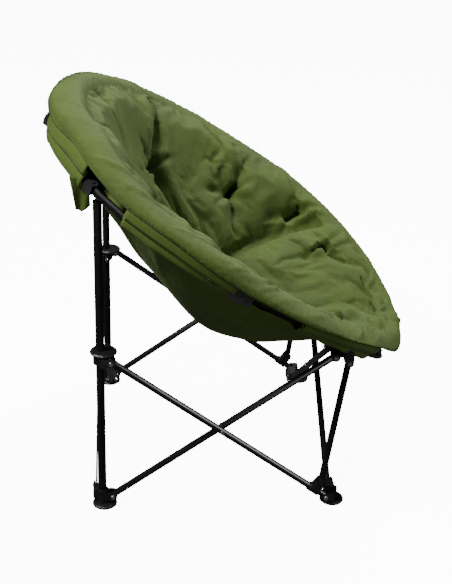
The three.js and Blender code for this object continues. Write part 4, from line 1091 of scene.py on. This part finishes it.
def build_painted_slot_shade(name, node, side):
    """Two crossed dark bars on a screw's outer face: painted shade for its cross slot."""
    low, high = (np.array(corner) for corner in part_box(node))
    middle = (low + high) / 2
    face = high[1] if side > 0 else low[1]
    points, faces = [], []
    for turn in (SLOT_TURN, SLOT_TURN + math.pi / 2):
        along = np.array([math.cos(turn), 0, math.sin(turn)]) * SLOT_LENGTH / 2
        across = np.array([-math.sin(turn), 0, math.cos(turn)]) * SLOT_WIDTH / 2
        near = len(points)
        far = near + 4
        for depth in (-SLOT_PROUD, SLOT_PROUD):
            centre = np.array([middle[0], face + side * depth, middle[2]])
            points += [centre - along - across, centre + along - across,
                       centre + along + across, centre - along + across]
        faces += [(near + 3, near + 2, near + 1, near), (far, far + 1, far + 2, far + 3)]
        faces += strip(near, far, 4)
    return mesh_object(name, points, faces, FINISHES["black_plastic"], smooth=False)


CUSHION = build_cushion()
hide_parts("seat_pad")
squashed(CUSHION)
SLING = build_sling()
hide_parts("seat_pad")
squashed(SLING)
for trim in build_seams(CUSHION):
    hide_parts("seat_pad")
    squashed(trim)
for hand, side in (("right", -1), ("left", 1)):
    flap = build_flap("rear_flap_" + hand, side)
    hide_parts("seat_pad")
    squashed(flap)
for hand, side in (("right", -1), ("left", 1)):
    # Dark crosses on the screws: painted shade for their slots
    slot = build_painted_slot_shade("screw_slot_painted_shade_" + hand, "screw_strut_hub_" + hand, side)
    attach(slot, "front_hub_" + hand)


# Camera, light and floor
LIGHTS_AIM = (0, 0, 0.5)
LOW_AIM = (0, 0, 0.4)
# Name, place, aim, size and power of each light
LIGHTS = [
    ("key", (-1.9, -0.9, 2.9), LIGHTS_AIM, 0.8, 172),
    ("fill", (2.6, -1.8, 1.6), LIGHTS_AIM, 1.4, 34),
    ("low", (-0.4, -2.9, 0.7), LOW_AIM, 1.2, 18),
    ("top", (0.9, 1.3, 3.0), LOW_AIM, 1.4, 135)]
FLOOR_HALF = 12
FLOOR_GLOW = 11
# How bright the surroundings are between a low and a high direction, by the direction's rise
SKY_RANGE = (-0.35, 0.6)
SKY_STRENGTH = (0.95, 1.3)


def set_camera():
    """The camera, from its fitted place and angles."""
    forward = Vector((
        math.sin(CAMERA_YAW) * math.cos(CAMERA_DOWN),
        math.cos(CAMERA_YAW) * math.cos(CAMERA_DOWN), -math.sin(CAMERA_DOWN)))
    level = Vector((math.cos(CAMERA_YAW), -math.sin(CAMERA_YAW), 0))
    upright = level.cross(forward)
    right = level * math.cos(CAMERA_ROLL) + upright * math.sin(CAMERA_ROLL)
    up = upright * math.cos(CAMERA_ROLL) - level * math.sin(CAMERA_ROLL)
    data = bpy.data.cameras.new("camera")
    data.sensor_width = CAMERA_SENSOR
    data.lens = CAMERA_LENS
    camera = bpy.data.objects.new("camera", data)
    turn = Matrix((right, up, -forward)).transposed().to_4x4()
    spot = Vector(place(CAMERA_FORWARD, CAMERA_ACROSS, CAMERA_HEIGHT))
    camera.matrix_world = Matrix.Translation(spot) @ turn
    bpy.context.scene.collection.objects.link(camera)
    bpy.context.scene.camera = camera


def area_light(name, spot, aim, size, power):
    """A round soft light that points at a place."""
    data = bpy.data.lights.new(name, "AREA")
    data.shape = "DISK"
    data.size = size
    data.energy = power
    light = bpy.data.objects.new(name, data)
    light.location = spot
    light.rotation_euler = (Vector(aim) - Vector(spot)).to_track_quat("-Z", "Y").to_euler()
    bpy.context.scene.collection.objects.link(light)


def set_floor():
    """A pale glowing floor that neither lights the chair nor shows in its gloss."""
    material = bpy.data.materials.new("pale_floor")
    material.use_nodes = True
    shader = material.node_tree.nodes["Principled BSDF"]
    shader.inputs["Base Color"].default_value = (*gray(0.92), 1)
    shader.inputs["Roughness"].default_value = 0.9
    shader.inputs["Emission Color"].default_value = (1, 1, 1, 1)
    shader.inputs["Emission Strength"].default_value = FLOOR_GLOW
    half = FLOOR_HALF
    corners = [(-half, -half, 0), (half, -half, 0), (half, half, 0), (-half, half, 0)]
    floor = mesh_object("floor", corners, [(0, 1, 2, 3)], material)
    floor.visible_diffuse = False
    floor.visible_glossy = False


def set_world():
    """Even light from all round, a little brighter from above."""
    world = bpy.data.worlds.new("studio")
    world.use_nodes = True
    nodes, links = world.node_tree.nodes, world.node_tree.links
    way = nodes.new("ShaderNodeTexCoord")
    split = nodes.new("ShaderNodeSeparateXYZ")
    sky = nodes.new("ShaderNodeMapRange")
    sky.inputs["From Min"].default_value, sky.inputs["From Max"].default_value = SKY_RANGE
    sky.inputs["To Min"].default_value, sky.inputs["To Max"].default_value = SKY_STRENGTH
    links.new(way.outputs["Generated"], split.inputs[0])
    links.new(split.outputs["Z"], sky.inputs["Value"])
    links.new(sky.outputs["Result"], nodes["Background"].inputs["Strength"])
    bpy.context.scene.world = world


set_camera()
set_floor()
set_world()
for light in LIGHTS:
    area_light(*light)
